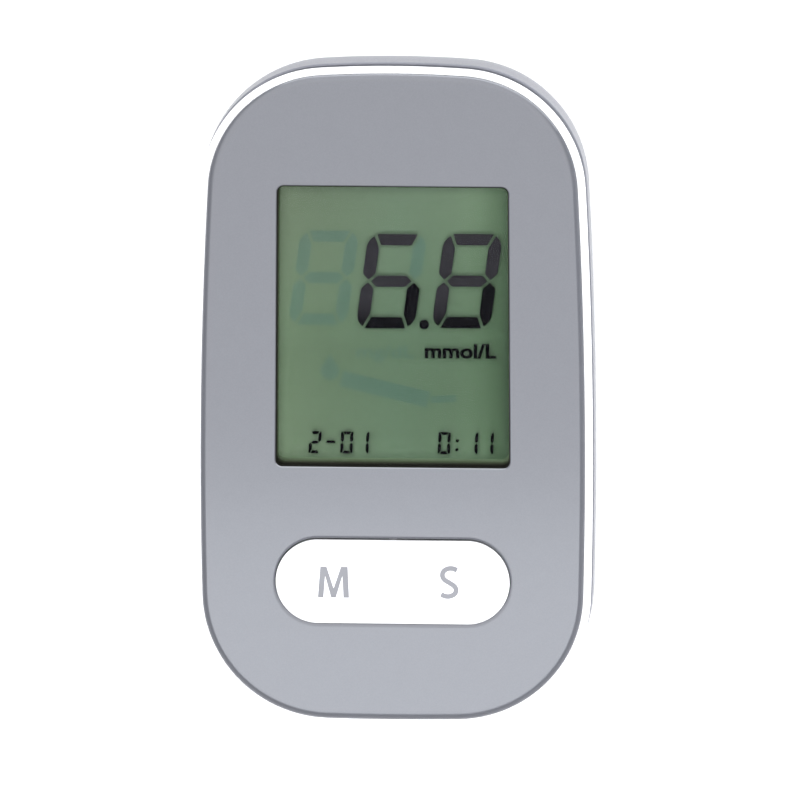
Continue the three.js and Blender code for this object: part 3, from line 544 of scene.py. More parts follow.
# Painted light: how much brighter the backing is painted towards the walls of the window, against the
# shade that they cast, as shares of its own tone
GROUND_ACROSS_PAINTED_LIGHT = [
    (0, 1.49), (0.03, 1.42), (0.055, 1.18), (0.1, 1.06), (0.18, 0.995), (0.35, 1.0), (0.6, 1.056),
    (0.75, 1.116), (0.86, 1.316), (1, 1.36),
]
GROUND_UP_PAINTED_LIGHT = [
    (0, 1.72), (0.03, 1.44), (0.06, 1.09), (0.1, 0.99), (0.2, 0.97), (0.4, 0.92), (0.6, 1.04),
    (0.85, 1.14), (0.9, 1.2), (0.935, 1.37), (0.955, 1.58), (1, 1.4),
]
GROUND_CAST = (0.98, 1.0, 0.985)
# Painted shade and light: the upper left corner of the backing is painted darker, and the upper right one
# paler
PAINTED_TOP_CORNER_SHARES = (-0.17, 0.28)  # what the upper left corner loses, and the upper right one gains
PAINTED_TOP_CORNER_BAND = (0.6, 1.0)  # how far up these corners lie
GROUND_TINTS = [(0.0, WHITE), (0.45, (0.96, 0.98, 0.97, 1)), (1.0, (1.02, 0.93, 1.0, 1))]
GROUND_GRAIN = (0.12, 3.0)
GROUND_GRAIN_LOW = 0.96
# Painted shade: the surround is painted darker upwards, for the soft shade inside the window's recess
SURROUND_PAINTED_SHADE_TONES = [(0.0, (90, 110, 84)), (0.4, (70, 82, 62)), (0.7, (47, 51, 41)), (1.0, (25, 25, 21))]
FOAM_CELLS = (0.1, 3.0)
FOAM_LOW = 0.85
FOAM_RELIEF = 0.01
HAZE = (6.0, 2.0)
HAZE_RELIEF = 0.002
GLASS_TONE = (20, 24, 20)
GLASS_LOW = 0.9
GLASS_ROUGHNESS = (0.04, 0.064)
LENS_TONES = [(0.86, 0.88, 0.9, 1), (0.92, 0.93, 0.95, 1)]
LENS_ROUGHNESS = (0.02, 0.04)
GLOSS_POWER = 4.0
FACE_ON_GLOSS = 0.002
INK_FLECK = (0.2, 3.0)
INK_LOW = 0.85
INK_ROUGHNESS = (0.6, 0.8)
TRACK_TONES = {"Color1": (24, 96, 52), "Color2": (20, 86, 46), "Mortar": (70, 140, 76)}
TRACK_PITCH = 4.0
TRACK_SHARE = 0.05
TRACK_RELIEF = 0.01
MASK_GRAIN = 0.3
MASK_ROUGHNESS = (0.4, 0.55)
MOULDED = {
    "white_gloss": dict(
        tone=(228, 229, 231), rough=0.16, grain=1.2, relief=FINE_RELIEF, spread=0.01,
        Coat_Weight=0.5, Coat_Roughness=0.05,
    ),
    "grey_shell": dict(tone=(110, 112, 120), rough=0.4, grain=0.22, relief=0.003, spread=0.02),
    "dark_plastic": dict(tone=(38, 40, 44), rough=0.5, grain=0.2, relief=0.004, spread=0.12),
    "conductive_rubber": dict(tone=(48, 48, 50), rough=0.85, grain=0.1, relief=0.01, spread=0.2),
    "chip_body": dict(tone=(34, 35, 38), rough=0.55, grain=0.12, relief=0.006, spread=0.12),
}
KEY_PRINT = dict(tone=(118, 119, 124), rough=0.5, grain=0.1, relief=0.001, spread=0.04)
METALS = {
    "bright_steel": dict(tone=(196, 199, 204), rough=0.28),
    "gold_contact": dict(tone=(222, 184, 96), rough=0.25),
}
CELL_JACKET = dict(
    tone=(128, 134, 142), fine=(0.15, 3.0), broad=(3.0, 2.0), spread=0.1, rough=(0.26, 0.38), relief=0.001
)


def colour(red, green, blue):
    """A display colour, 0 to 255 a channel, as linear light."""

    def linear(c):
        c /= 255
        return c / 12.92 if c <= 0.04045 else ((c + 0.055) / 1.055) ** 2.4

    return (linear(red), linear(green), linear(blue), 1.0)


def shaded(tone, factor):
    return tuple(min(c * factor, 1.0) for c in tone[:3]) + (1.0,)


def cast(level, shares):
    """A grey of a given brightness, whose channels are taken down by their own shares."""
    return tuple(level * share for share in shares) + (1.0,)


def fill_ramp(ramp, stops):
    while len(ramp.elements) < len(stops):
        ramp.elements.new(0.5)
    for element, (place, tone) in zip(ramp.elements, stops):
        element.position = place
        element.color = tone


class Paint:
    """A Principled material whose colour, roughness and surface vary with noise in object space."""

    def __init__(self, name, **settings):
        self.material = bpy.data.materials.new(name)
        self.material.use_nodes = True
        self.nodes = self.material.node_tree.nodes
        self.links = self.material.node_tree.links
        self.shader = self.nodes["Principled BSDF"]
        for socket, value in settings.items():
            self.shader.inputs[socket.replace("_", " ")].default_value = value
        self.place = self.nodes.new("ShaderNodeTexCoord").outputs["Object"]

    def noise(self, grain, detail=2.0, distortion=0.0):
        """Noise whose grains are about so many millimetres wide."""
        node = self.nodes.new("ShaderNodeTexNoise")
        node.inputs["Scale"].default_value = 1 / (grain * MM)
        node.inputs["Detail"].default_value = detail
        node.inputs["Distortion"].default_value = distortion
        self.links.new(self.place, node.inputs["Vector"])
        return node.outputs["Fac"]

    def ramp(self, factor, stops):
        node = self.nodes.new("ShaderNodeValToRGB")
        fill_ramp(node.color_ramp, stops)
        self.links.new(factor, node.inputs["Fac"])
        return node.outputs["Color"]

    def tones(self, factor, low, high):
        """One colour where noise is low, and another where it is high."""
        return self.ramp(factor, list(zip(NOISE_BAND, (low, high))))

    def shades(self, factor, tone, low, high):
        """A tone that noise takes from one share of its brightness to another."""
        return self.tones(factor, shaded(tone, low), shaded(tone, high))

    def between(self, factor, low, high, source=NOISE_BAND):
        node = self.nodes.new("ShaderNodeMapRange")
        node.inputs["From Min"].default_value = source[0]
        node.inputs["From Max"].default_value = source[1]
        node.inputs["To Min"].default_value = low
        node.inputs["To Max"].default_value = high
        self.links.new(factor, node.inputs["Value"])
        return node.outputs["Result"]

    def along(self, axis, span_mm):
        """How far a point lies along an axis, from 0 to 1 between two places."""
        node = self.nodes.new("ShaderNodeSeparateXYZ")
        self.links.new(self.place, node.inputs["Vector"])
        return self.between(node.outputs[axis], 0.0, 1.0, [place * MM for place in span_mm])

    def blend(self, factor, one, two, mode):
        node = self.nodes.new("ShaderNodeMix")
        node.data_type = "RGBA"
        node.blend_type = mode
        for socket, value in (("Factor", factor), ("A", one), ("B", two)):
            target = next(s for s in node.inputs if s.name == socket and s.enabled)
            if isinstance(value, (float, tuple)):
                target.default_value = value
            else:
                self.links.new(value, target)
        return next(s for s in node.outputs if s.enabled)

    def times(self, one, two):
        return self.blend(1.0, one, two, "MULTIPLY")

    def base(self, output):
        self.links.new(output, self.shader.inputs["Base Color"])

    def roughness(self, output):
        self.links.new(output, self.shader.inputs["Roughness"])

    def bump(self, height, depth):
        """Adds relief of so many millimetres, which ends the recipe."""
        node = self.nodes.new("ShaderNodeBump")
        node.inputs["Distance"].default_value = depth * MM
        node.inputs["Strength"].default_value = 1.0
        self.links.new(height, node.inputs["Height"])
        self.links.new(node.outputs["Normal"], self.shader.inputs["Normal"])
        return self.material


def surface(name, tone, fine, broad, spread, rough, relief, **settings):
    """A tone that broad noise varies by a share, with a gloss and relief that follow fine noise."""
    paint = Paint(name, **settings)
    grain = paint.noise(*fine)
    paint.base(paint.shades(paint.noise(*broad), colour(*tone), 1 - spread, 1 + spread))
    paint.roughness(paint.between(grain, *rough))
    return paint.bump(grain, relief)


def moulded(name, tone, rough, grain, relief, spread, **settings):
    """Moulded plastic: a fine spark-eroded grain over faint larger unevenness."""
    fine, broad = (grain, GRAIN_DETAIL), (grain * PATCH_WIDTH, PATCH_DETAIL)
    gloss = [rough * share for share in MOULDED_GLOSS]
    return surface(name, tone, fine, broad, spread, gloss, relief, **settings)


def metal(name, tone, rough):
    """Rolled or drawn metal with small colour and gloss changes."""
    gloss = [rough * share for share in METAL_GLOSS]
    grains = (METAL_GRAIN, METAL_CLOUDS)
    return surface(name, tone, *grains, METAL_SPREAD, gloss, FINE_RELIEF, Metallic=1.0)


def silver_paint():
    """Satin silver paint with fine metallic flakes."""
    tone = colour(*SILVER_TONE)
    paint = Paint("silver_panel", Metallic=0.35, Coat_Weight=1.0, Coat_Roughness=0.12, Coat_IOR=1.8)
    flakes = paint.noise(*FLAKES)
    clouds = paint.noise(*CLOUDS)
    sparkle = paint.ramp(flakes, [(place, shaded(tone, share)) for place, share in FLAKE_SHADES])
    paint.base(paint.blend(CLOUD_SHARE, sparkle, paint.shades(clouds, tone, *CLOUD_SHADES), "MIX"))
    paint.roughness(paint.between(flakes, *FLAKE_ROUGHNESS))
    return paint.bump(flakes, FINE_RELIEF)


def display_ground(name="display_ground", tint=WHITE):
    """The reflective backing: green-grey, with painted reflection and shade, brightest at the lower left
    and darker along the right edge, and with painted light towards the window's walls.
    """
    paint = Paint(name, Roughness=0.8, Specular_IOR_Level=0.1)

    def painted_light_ramp(factor, shares):
        """A grey ramp of painted light at half strength, so that no stop of it is over white."""
        return paint.ramp(factor, [(place, cast(share / 2, GROUND_CAST)) for place, share in shares])

    across = paint.along("X", GROUND_SPAN_X)
    up = paint.along("Y", GROUND_SPAN_Y)
    tones = [(place, shaded(colour(*tone), GROUND_LEVEL)) for place, tone in GROUND_TONES_PAINTED_LIGHT_AND_SHADE]
    level = paint.ramp(across, tones)
    # Painted light towards the window's walls, across and up
    level = paint.times(level, painted_light_ramp(across, GROUND_ACROSS_PAINTED_LIGHT))
    level = paint.times(level, painted_light_ramp(up, GROUND_UP_PAINTED_LIGHT))
    # Painted shade at the upper left corner and painted light at the upper right one
    corner = paint.nodes.new("ShaderNodeMath")
    corner.operation = "MULTIPLY_ADD"
    paint.links.new(paint.between(across, *PAINTED_TOP_CORNER_SHARES, (0.0, 1.0)), corner.inputs[0])
    paint.links.new(paint.between(up, 0.0, 1.0, PAINTED_TOP_CORNER_BAND), corner.inputs[1])
    corner.inputs[2].default_value = 1.0
    level = paint.times(level, corner.outputs[0])
    dim = paint.ramp(up, GROUND_TINTS)
    grain = paint.shades(paint.noise(*GROUND_GRAIN), WHITE, GROUND_GRAIN_LOW, 1)
    paint.base(paint.times(paint.times(paint.times(level, dim), grain), tint))
    return paint.material


def window_surround():
    """Dark foam whose colour is a painted shade gradient: near black at the top, fading towards the
    display's colour where it meets the glass.
    """
    paint = Paint("foam", Roughness=0.9, Specular_IOR_Level=0.1)
    height = paint.along("Z", (GASKET_LOW.z, GASKET_HIGH.z))
    cells = paint.noise(*FOAM_CELLS)
    tone = paint.ramp(height, [(place, colour(*tone)) for place, tone in SURROUND_PAINTED_SHADE_TONES])
    paint.base(paint.times(tone, paint.shades(cells, WHITE, FOAM_LOW, 1)))
    return paint.bump(cells, FOAM_RELIEF)


def display_glass():
    """Thin clear glass, with a trace of surface waviness."""
    paint = Paint("display_glass", Alpha=0.03, IOR=1.5)
    haze = paint.noise(*HAZE)
    paint.base(paint.shades(haze, colour(*GLASS_TONE), GLASS_LOW, 1))
    paint.roughness(paint.between(haze, *GLASS_ROUGHNESS))
    return paint.bump(haze, HAZE_RELIEF)


def clear_pane():
    """A clear window: almost unseen from straight above, and a mirror at a grazing view."""
    paint = Paint("clear_lens", Metallic=1.0)
    haze = paint.noise(*HAZE)
    paint.base(paint.tones(haze, *LENS_TONES))
    paint.roughness(paint.between(haze, *LENS_ROUGHNESS))
    weight = paint.nodes.new("ShaderNodeLayerWeight")
    weight.inputs["Blend"].default_value = 0.5
    steep = paint.nodes.new("ShaderNodeMath")
    steep.operation = "POWER"
    steep.inputs[1].default_value = GLOSS_POWER
    paint.links.new(weight.outputs["Facing"], steep.inputs[0])
    gloss = paint.between(steep.outputs[0], FACE_ON_GLOSS, 1.0, (0.0, 1.0))
    paint.links.new(gloss, paint.shader.inputs["Alpha"])
    return paint.bump(haze, HAZE_RELIEF)


def ink(name, tones, span_y):
    """Darkened liquid crystal, whose colour changes from one height on the display to another; a paler
    upper tone is painted reflection.
    """
    paint = Paint(name, Specular_IOR_Level=0.0)
    fleck = paint.noise(*INK_FLECK)
    tone = paint.ramp(paint.along("Y", span_y), [(0.0, tones[0]), (1.0, tones[1])])
    paint.base(paint.times(tone, paint.shades(fleck, WHITE, INK_LOW, 1)))
    paint.roughness(paint.between(fleck, *INK_ROUGHNESS))
    return paint.material


def circuit_board():
    """Green solder mask over faint copper tracks."""
    paint = Paint("circuit_board", Coat_Weight=0.3, Coat_Roughness=0.2)
    tracks = paint.nodes.new("ShaderNodeTexBrick")
    tracks.inputs["Scale"].default_value = 1 / (TRACK_PITCH * MM)
    tracks.inputs["Mortar Size"].default_value = TRACK_SHARE
    for socket, tone in TRACK_TONES.items():
        tracks.inputs[socket].default_value = colour(*tone)
    paint.links.new(paint.place, tracks.inputs["Vector"])
    paint.base(tracks.outputs["Color"])
    paint.roughness(paint.between(paint.noise(MASK_GRAIN), *MASK_ROUGHNESS))
    return paint.bump(tracks.outputs["Fac"], TRACK_RELIEF)


MATERIALS = {
    "silver_panel": silver_paint(),
    "clear_lens": clear_pane(),
    "display_glass": display_glass(),
    "display_ground": display_ground(),
    "foam": window_surround(),
    "circuit_board": circuit_board(),
    "battery_can": surface("battery_can", **CELL_JACKET, Metallic=0.75),
    **{name: moulded(name, **settings) for name, settings in MOULDED.items()},
    **{name: metal(name, **settings) for name, settings in METALS.items()},
}
# Painted reflection: the big figures are painted paler higher up, where the lens reflects light over them
REFLECTION_SPAN_Y = (9.0, 12.5)  # between these heights the big figures grow paler
DARK_INK = ink("lcd_dark", [colour(5, 4, 8), colour(5, 4, 8)], REFLECTION_SPAN_Y)
PAINTED_REFLECTION_INK = ink("lcd_painted_reflection", [colour(5, 4, 8), colour(38, 37, 41)], REFLECTION_SPAN_Y)
# The unlit figures carry the backing's painted reflection, shade and light under their own tint
GHOST_INK = display_ground("lcd_ghost", (0.76, 0.87, 1.0, 1.0))
KEY_INK = moulded("key_print", **KEY_PRINT)

# Face plate


def face_edge():
    """Inset and height along the face plate's edge, from its foot up: steeper and steeper outwards."""
    gentle, steep = BEVEL_TILTS
    step = BEVEL_WIDTH / BEVEL_STEPS
    edge = [(BEVEL_WIDTH, PANEL_HIGH.z)]
    for i in range(BEVEL_STEPS):
        tilt = gentle + (steep - gentle) * ((i + 0.5) / BEVEL_STEPS) ** BEVEL_POWER
        inset, z = edge[-1]
        edge.append((inset - step, z - step * math.tan(tilt)))
    return reversed(edge)


def face_plate():
    rings = [at_height(face_outline(0), PANEL_LOW.z)]
    rings += [at_height(face_outline(-inset), z) for inset, z in face_edge()]
    rings.append(at_height(face_outline(-BEVEL_WIDTH - SUPPORT_WIDTH), PANEL_HIGH.z))
    made = raw_object("face_plate", loft(rings))
    top, bottom = PANEL_HIGH.z, PANEL_LOW.z - OVERRUN

    def opening(grow):
        half_height = KEY_FACE_HALF_HEIGHT + KEY_SIDE_GAP + KEY_EXTRA_GAP / 2 + grow
        middle_y = KEY_Y + KEY_RISE + KEY_EXTRA_GAP / 2
        return pill_outline(KEY_HALF_LENGTH + KEY_GAP + grow, half_height, middle_y)

    slope = CHAMFER_WIDTH / CHAMFER_DEPTH
    key_hole = loft([
        at_height(opening(0), bottom),
        at_height(opening(0), top - CHAMFER_DEPTH),
        at_height(opening(CHAMFER_WIDTH + slope * OVERRUN), top + OVERRUN),
    ])
    window = loft([
        at_height(pane_outline(0, PANE_CORNER_RADIUS), bottom),
        at_height(pane_outline(0, PANE_CORNER_RADIUS), top - PANE_EDGE_ROUND),
        at_height(pane_outline(OVERRUN + PANE_EDGE_ROUND, PANE_CORNER_RADIUS + OVERRUN), top + OVERRUN),
    ])
    combine(made, [key_hole, window], "DIFFERENCE")
    stand_in(made, "housing", "silver_panel", "front_panel")


# White upper housing


def middle(node):
    low, high = span(node)
    return (low + high) / 2


def rod(place, radius, z0, z1):
    """An upright round rod."""
    return prism(circle(place.x, place.y, radius), z0, z1)


SCREW_PLACES = [middle(node) for node in SCREW_NODES]
BOARD_SCREW_PLACES = [middle(node) for node in BOARD_SCREW_NODES]


def lengthwise_rod(y0, y1, z, radius):
    """A round rod along Y."""
    around = circle(0, z, radius, ROUND_SIDES // 2)
    return loft([[Vector((p.x, y, p.y)) for p in around] for y in (y1, y0)])


def along_key(end, *distances):
    """Places that lie so far from the key's middle, towards the meter's upper (1) or lower (-1) end."""
    return sorted(KEY_Y + end * distance for distance in distances)


def key_saddle(end):
    """The block that carries one of the key's pins."""
    half = KEY_PIN_RADIUS + SLIDE + SADDLE_WALL
    near = KEY_HALF_HEIGHT + WELL_GAP - SLIDE
    ys = along_key(end, near, PIN_REACH + LOOSE + SADDLE_WALL)
    return block(-half, half, *ys, KEY_PIVOT_Z - KEY_PIN_RADIUS - SLIDE - SADDLE_FLOOR, DECK_TOP)


def saddle_notch(end):
    radius = KEY_PIN_RADIUS + SLIDE
    ys = along_key(end, 0, PIN_REACH + LOOSE)
    return [
        lengthwise_rod(*ys, KEY_PIVOT_Z, radius),
        block(-radius, radius, *ys, KEY_PIVOT_Z, DECK_TOP + OVERRUN),
    ]


def spread(outline):
    """The outline made a little broader, most at its sides."""
    share = 1 + SIDE_SPREAD / HALF_WIDTH
    return [Vector((p.x * share, p.y)) for p in outline]


def upper_housing():
    rings = [at_height(spread(face_outline(CASE_OFFSET - DRAW_IN)), PARTING_Z)]
    crest = LIP_GAP + LIP_EDGE
    for in_share, down_share in quarter_round(LIP_STEPS):
        offset = CASE_OFFSET - (CASE_OFFSET - crest) * in_share
        outline = spread(face_outline(offset)) if in_share < 1 else face_outline(crest)
        rings.append(at_height(outline, LIP_TOP - LIP_ROUND * down_share))
    made = raw_object("upper_housing", loft(rings))
    tongue = prism(face_outline(TONGUE_OFFSET), PARTING_Z - TONGUE_DEPTH, PARTING_Z + DECK_THICKNESS / 2)
    combine(made, [tongue], "UNION")
    step_z = LIP_TOP - LIP_EDGE
    recess = loft([
        at_height(face_outline(LIP_GAP_BELOW), DECK_TOP),
        at_height(face_outline(LIP_GAP_BELOW), step_z - LIP_GAP / 2),
        at_height(face_outline(LIP_GAP), step_z),
        at_height(face_outline(LIP_GAP + OVERRUN), step_z + OVERRUN),
    ])
    through = (DECK_BOTTOM - OVERRUN, DECK_TOP + OVERRUN)
    cavity = prism(face_outline(CAVITY_OFFSET), PARTING_Z - TONGUE_DEPTH - OVERRUN, DECK_BOTTOM)
    lens_hole = prism(pane_outline(LENS_MARGIN + LOOSE, LENS_CORNER_RADIUS), *through)
    well = prism(pill_outline(KEY_HALF_LENGTH + WELL_GAP, KEY_HALF_HEIGHT + WELL_GAP, KEY_Y), *through)
    combine(made, [cavity, recess, lens_hole, well], "DIFFERENCE")
    bosses, holes = [key_saddle(1), key_saddle(-1)], [*saddle_notch(1), *saddle_notch(-1)]
    for p in SCREW_PLACES:
        bosses.append(rod(p, BOSS_RADIUS, ROOF_TOP - LOOSE, DECK_BOTTOM + LOOSE))
        holes.append(rod(p, SCREW_SHANK_RADIUS + SLIDE, ROOF_TOP - LOOSE - OVERRUN, SCREW_TIP_Z + LOOSE))
    for p in BOARD_SCREW_PLACES:
        bosses.append(rod(p, BOARD_BOSS_RADIUS, BOARD_TOP + SEAT, DECK_BOTTOM + LOOSE))
        holes.append(rod(p, BOARD_SHANK_RADIUS + SLIDE, BOARD_TOP - OVERRUN, BOARD_SCREW_TIP_Z + LOOSE))
    combine(made, bosses, "UNION")
    combine(made, holes, "DIFFERENCE")
    stand_in(made, "housing", "white_gloss", "mid_frame")


# Grey lower shell and its door


def belly_rings(widest_offset, rim_offset, floor_z, inset, rim_z):
    """A flat underside that curves up into sides, which swell out a little below the rim."""
    rings = []
    for i in range(BELLY_STEPS + 1):
        angle = i / BELLY_STEPS * math.pi / 2
        outline = spread(face_outline(widest_offset - inset * (1 - math.sin(angle))))
        rings.append(at_height(outline, BELLY_HEIGHT - (BELLY_HEIGHT - floor_z) * math.cos(angle)))
    for i in range(1, SHOULDER_STEPS + 1):
        rise = i / SHOULDER_STEPS
        outline = spread(face_outline(widest_offset - (widest_offset - rim_offset) * rise**2))
        rings.append(at_height(outline, BELLY_HEIGHT + (rim_z - BELLY_HEIGHT) * rise))
    return rings


def outer_form():
    """The whole shell without its hollows. Its rim is a thin edge, a channel and a higher inner part."""
    edge_z, channel_z = SHELL_TOP - RIM_DROP, SHELL_TOP - CHANNEL_DROP
    rings = belly_rings(SHELL_OFFSET + BULGE, RIM_OFFSET, 0, BELLY_INSET, edge_z - RIM_ROUND)
    profile = [
        (RIM_OFFSET - RIM_WIDTH, edge_z), (RIM_OFFSET - RIM_WIDTH, channel_z),
        (CHANNEL_OFFSET, channel_z), (CHANNEL_OFFSET, SHELL_TOP),
    ]
    for in_share, down_share in quarter_round(RIM_STEPS):
        outline = spread(face_outline(RIM_OFFSET - RIM_ROUND * in_share))
        rings.append(at_height(outline, edge_z - RIM_ROUND * down_share))
    rings.pop(-RIM_STEPS - 1)
    rings += [at_height(face_outline(offset), z) for offset, z in profile]
    return loft(rings)


def inner_form():
    widest, inset = SHELL_INNER_OFFSET + BULGE, BELLY_INSET - LOOSE
    return loft(belly_rings(widest, SHELL_INNER_OFFSET, SHELL_FLOOR, inset, SHELL_TOP + OVERRUN))


def ordered(side, a, b):
    return sorted((side * a, side * b))


def tab_way(side, y):
    """Room for one door tab to slide, and the notch that lets it drop at the end."""
    reach = TAB_LENGTH / 2 + LOOSE
    xs = ordered(side, BAY_HALF_WIDTH - OVERRUN, TAB_OUTER_X + SLIDE)
    way = block(*xs, y - reach, y + reach + DOOR_TRAVEL, SHELL_FLOOR, TAB_TOP + SLIDE)
    notch = block(*xs, y - reach + DOOR_TRAVEL, y + reach + DOOR_TRAVEL, -OVERRUN, TAB_TOP)
    return [way, notch]


def strip_slot():
    outer_y = -(HALF_LENGTH + SHELL_OFFSET + BULGE)

    def ring(y, grow):
        w, h = SLOT_HALF_WIDTH + grow, SLOT_HALF_HEIGHT + grow
        corners = rounded_outline(w, w, -h, h, SLOT_HALF_HEIGHT / 2)
        return [Vector((p.x, y, SLOT_Z + p.y)) for p in corners]

    inner_y = outer_y + SHELL_OFFSET - SHELL_INNER_OFFSET + OVERRUN
    flare = [(inner_y, 0), (outer_y + SLOT_FUNNEL, 0)]
    flare += [(outer_y, SLOT_FUNNEL), (outer_y - OVERRUN, SLOT_FUNNEL)]
    return loft([ring(y, grow) for y, grow in flare])


def lower_shell():
    made = raw_object("lower_shell", outer_form())
    combine(made, [inner_form()], "DIFFERENCE")
    wall_x = BAY_HALF_WIDTH + BAY_WALL
    bay_ys = (BAY_BOTTOM_Y - BAY_WALL, BAY_TOP_Y + BAY_WALL)
    inner = raw_object("lower_shell_inner", block(-wall_x, wall_x, *bay_ys, SHELL_FLOOR - LOOSE, ROOF_TOP))
    tube_radius = SCREW_HEAD_RADIUS + LOOSE + SCREW_TUBE_WALL
    tubes = [rod(p, tube_radius, LOOSE, ROOF_TOP - 2 * LOOSE) for p in SCREW_PLACES]
    combine(inner, tubes, "UNION")
    combine(inner, [outer_form()], "INTERSECT")
    combine(made, [inner], "UNION")
    tab_x = BATTERY_X + PLATE_TAB_MARGIN + LOOSE
    tab_ys = (BAY_BOTTOM_Y, BAY_BOTTOM_Y + PLATE_DEPTH + LOOSE)
    recess_x = DOOR_HALF_WIDTH + SLIDE
    cuts = [
        block(-BAY_HALF_WIDTH, BAY_HALF_WIDTH, BAY_BOTTOM_Y, BAY_TOP_Y, -OVERRUN, ROOF_BOTTOM),
        block(-tab_x, tab_x, *tab_ys, ROOF_BOTTOM - OVERRUN, ROOF_TOP + OVERRUN),
        block(-recess_x, recess_x, DOOR_LOW.y - SLIDE, HALF_LENGTH + OVERRUN, -OVERRUN, DOOR_TOP + SLIDE),
        strip_slot(),
    ]
    for side in (-1, 1):
        for y in TAB_YS:
            cuts += tab_way(side, y)
    for p in SCREW_PLACES:
        cuts.append(rod(p, SCREW_HEAD_RADIUS + LOOSE, -OVERRUN, SCREW_SEAT_Z))
        cuts.append(rod(p, SCREW_SHANK_RADIUS + LOOSE, 0, SHELL_TOP))
    combine(made, cuts, "DIFFERENCE")
    stand_in(made, "housing", "grey_shell", "rear_cover")


def back_door():
    skin = block(-DOOR_HALF_WIDTH, DOOR_HALF_WIDTH, DOOR_LOW.y, HALF_LENGTH, DOOR_RECESS, DOOR_TOP)
    made = raw_object("back_door", skin)
    combine(made, [outer_form()], "INTERSECT")
    half = BAY_HALF_WIDTH - LOOSE
    ys = (BAY_BOTTOM_Y + LOOSE, BAY_TOP_Y - DOOR_TRAVEL - 2 * LOOSE)
    added = [block(-half, half, *ys, DOOR_TOP - DOOR_SKIN / 2, DOOR_TOP + DOOR_STIFFENER)]
    for side in (-1, 1):
        for y in TAB_YS:
            ys = (y - TAB_LENGTH / 2, y + TAB_LENGTH / 2)
            added.append(block(*ordered(side, half - TAB_RIB, half), *ys, DOOR_TOP, TAB_TOP))
            added.append(block(*ordered(side, half - TAB_RIB, TAB_OUTER_X), *ys, TAB_BOTTOM, TAB_TOP))
    combine(made, added, "UNION")
    grooves = []
    for i in range(GROOVE_COUNT):
        y = FIRST_GROOVE_Y + i * GROOVE_PITCH + GROOVE_WIDTH / 2
        levels = [(-OVERRUN, GROOVE_WIDTH / 2), (DOOR_RECESS, GROOVE_WIDTH / 2)]
        levels.append((DOOR_RECESS + GROOVE_DEPTH, GROOVE_FLOOR_HALF_WIDTH))
        grooves.append(loft([
            at_height(pill_outline(GROOVE_HALF_LENGTH + half_width, half_width, y, SMALL_STEPS), z)
            for z, half_width in levels
        ]))
    combine(made, grooves, "DIFFERENCE")
    soften(made, EDGE_SOFTENING)
    stand_in(made, "door", "grey_shell", "battery_door")


# Key


def key_cap():
    def pill(shrink):
        return pill_outline(KEY_HALF_LENGTH - shrink, KEY_FACE_HALF_HEIGHT - shrink, KEY_Y + KEY_RISE)

    rings = [at_height(pill(0), KEY_BOTTOM)]
    for in_share, down_share in quarter_round(BEVEL_STEPS):
        rings.append(at_height(pill(KEY_EDGE_WIDTH * in_share), KEY_TOP - KEY_EDGE_DROP * down_share))
    made = raw_object("key_cap", loft(rings))
    pin = lengthwise_rod(KEY_LOW.y, KEY_HIGH.y, KEY_PIVOT_Z, KEY_PIN_RADIUS)
    rib_ys = along_key(1, RIB_INSET - KEY_FACE_HALF_HEIGHT, KEY_FACE_HALF_HEIGHT - RIB_INSET)
    root_z = KEY_TOP - KEY_THICKNESS / 2
    rib = block(-RIB_HALF_WIDTH, RIB_HALF_WIDTH, *rib_ys, KEY_PIVOT_Z - RIB_DROP, root_z)
    feet = [Vector((side * KEY_LEG_X, KEY_Y)) for side in (-1, 1)]
    legs = [rod(foot, KEY_LEG_RADIUS, KEY_LOW.z, root_z) for foot in feet]
    combine(made, [rib, pin, *legs], "UNION")
    divider = []
    for depth, shrink in ((DIVIDER_DEPTH, DIVIDER_ROUND), (0, 0), (-OVERRUN, 0)):
        half = DIVIDER_HALF_WIDTH - shrink
        reach = DIVIDER_HALF_LENGTH - shrink
        outline = rounded_outline(half, half, -reach, reach, half * DIVIDER_END_SHARE)
        level = [Vector((DIVIDER_X + p.x, DIVIDER_Y + p.y, KEY_TOP - depth)) for p in outline]
        if depth > 0:
            fall = [(DIVIDER_HALF_WIDTH - p.x) / (2 * DIVIDER_HALF_WIDTH) for p in outline]
            level = [Vector((p.x, p.y, KEY_TOP - depth * share)) for p, share in zip(level, fall)]
        divider.append(level)
    combine(made, [loft(divider)], "DIFFERENCE")
    stand_in(made, "key", "white_gloss", "rocker_key")


M_SHARES = [
    (0, 0), (0.18, 0), (0.235, 0.7), (0.425, 0), (0.575, 0), (0.785, 0.7), (0.82, 0),
    (1, 0), (0.955, 1), (0.74, 1), (0.505, 0.3), (0.28, 1), (0.08, 1),
]
S_SHARES = [
    (0.93, 0.895), (0.72, 0.945), (0.45, 0.945), (0.2, 0.86), (0.13, 0.72), (0.24, 0.59),
    (0.5, 0.49), (0.76, 0.39), (0.88, 0.26), (0.78, 0.12), (0.5, 0.05), (0.26, 0.06), (0.06, 0.115),
]


def smooth_path(points):
    """A Catmull-Rom line through points."""
    padded = [2 * points[0] - points[1], *points, 2 * points[-1] - points[-2]]
    line = []
    for i in range(1, len(padded) - 2):
        a, b, c, d = padded[i - 1 : i + 3]
        for k in range(CURVE_STEPS):
            t = k / CURVE_STEPS
            squared = (2 * a - 5 * b + 4 * c - d) * t**2
            cubed = (3 * b - a - 3 * c + d) * t**3
            line.append(0.5 * (2 * b + (c - a) * t + squared + cubed))
    return [*line, points[-1]]


def stroke(path, width):
    """The outline of a flat pen line, counter-clockwise."""
    left, right = [], []
    for i, p in enumerate(path):
        ahead = (path[min(i + 1, len(path) - 1)] - path[max(i - 1, 0)]).normalized()
        side = Vector((-ahead.y, ahead.x)) * width / 2
        left.append(p + side)
        right.append(p - side)
    return [*right, *reversed(left)]


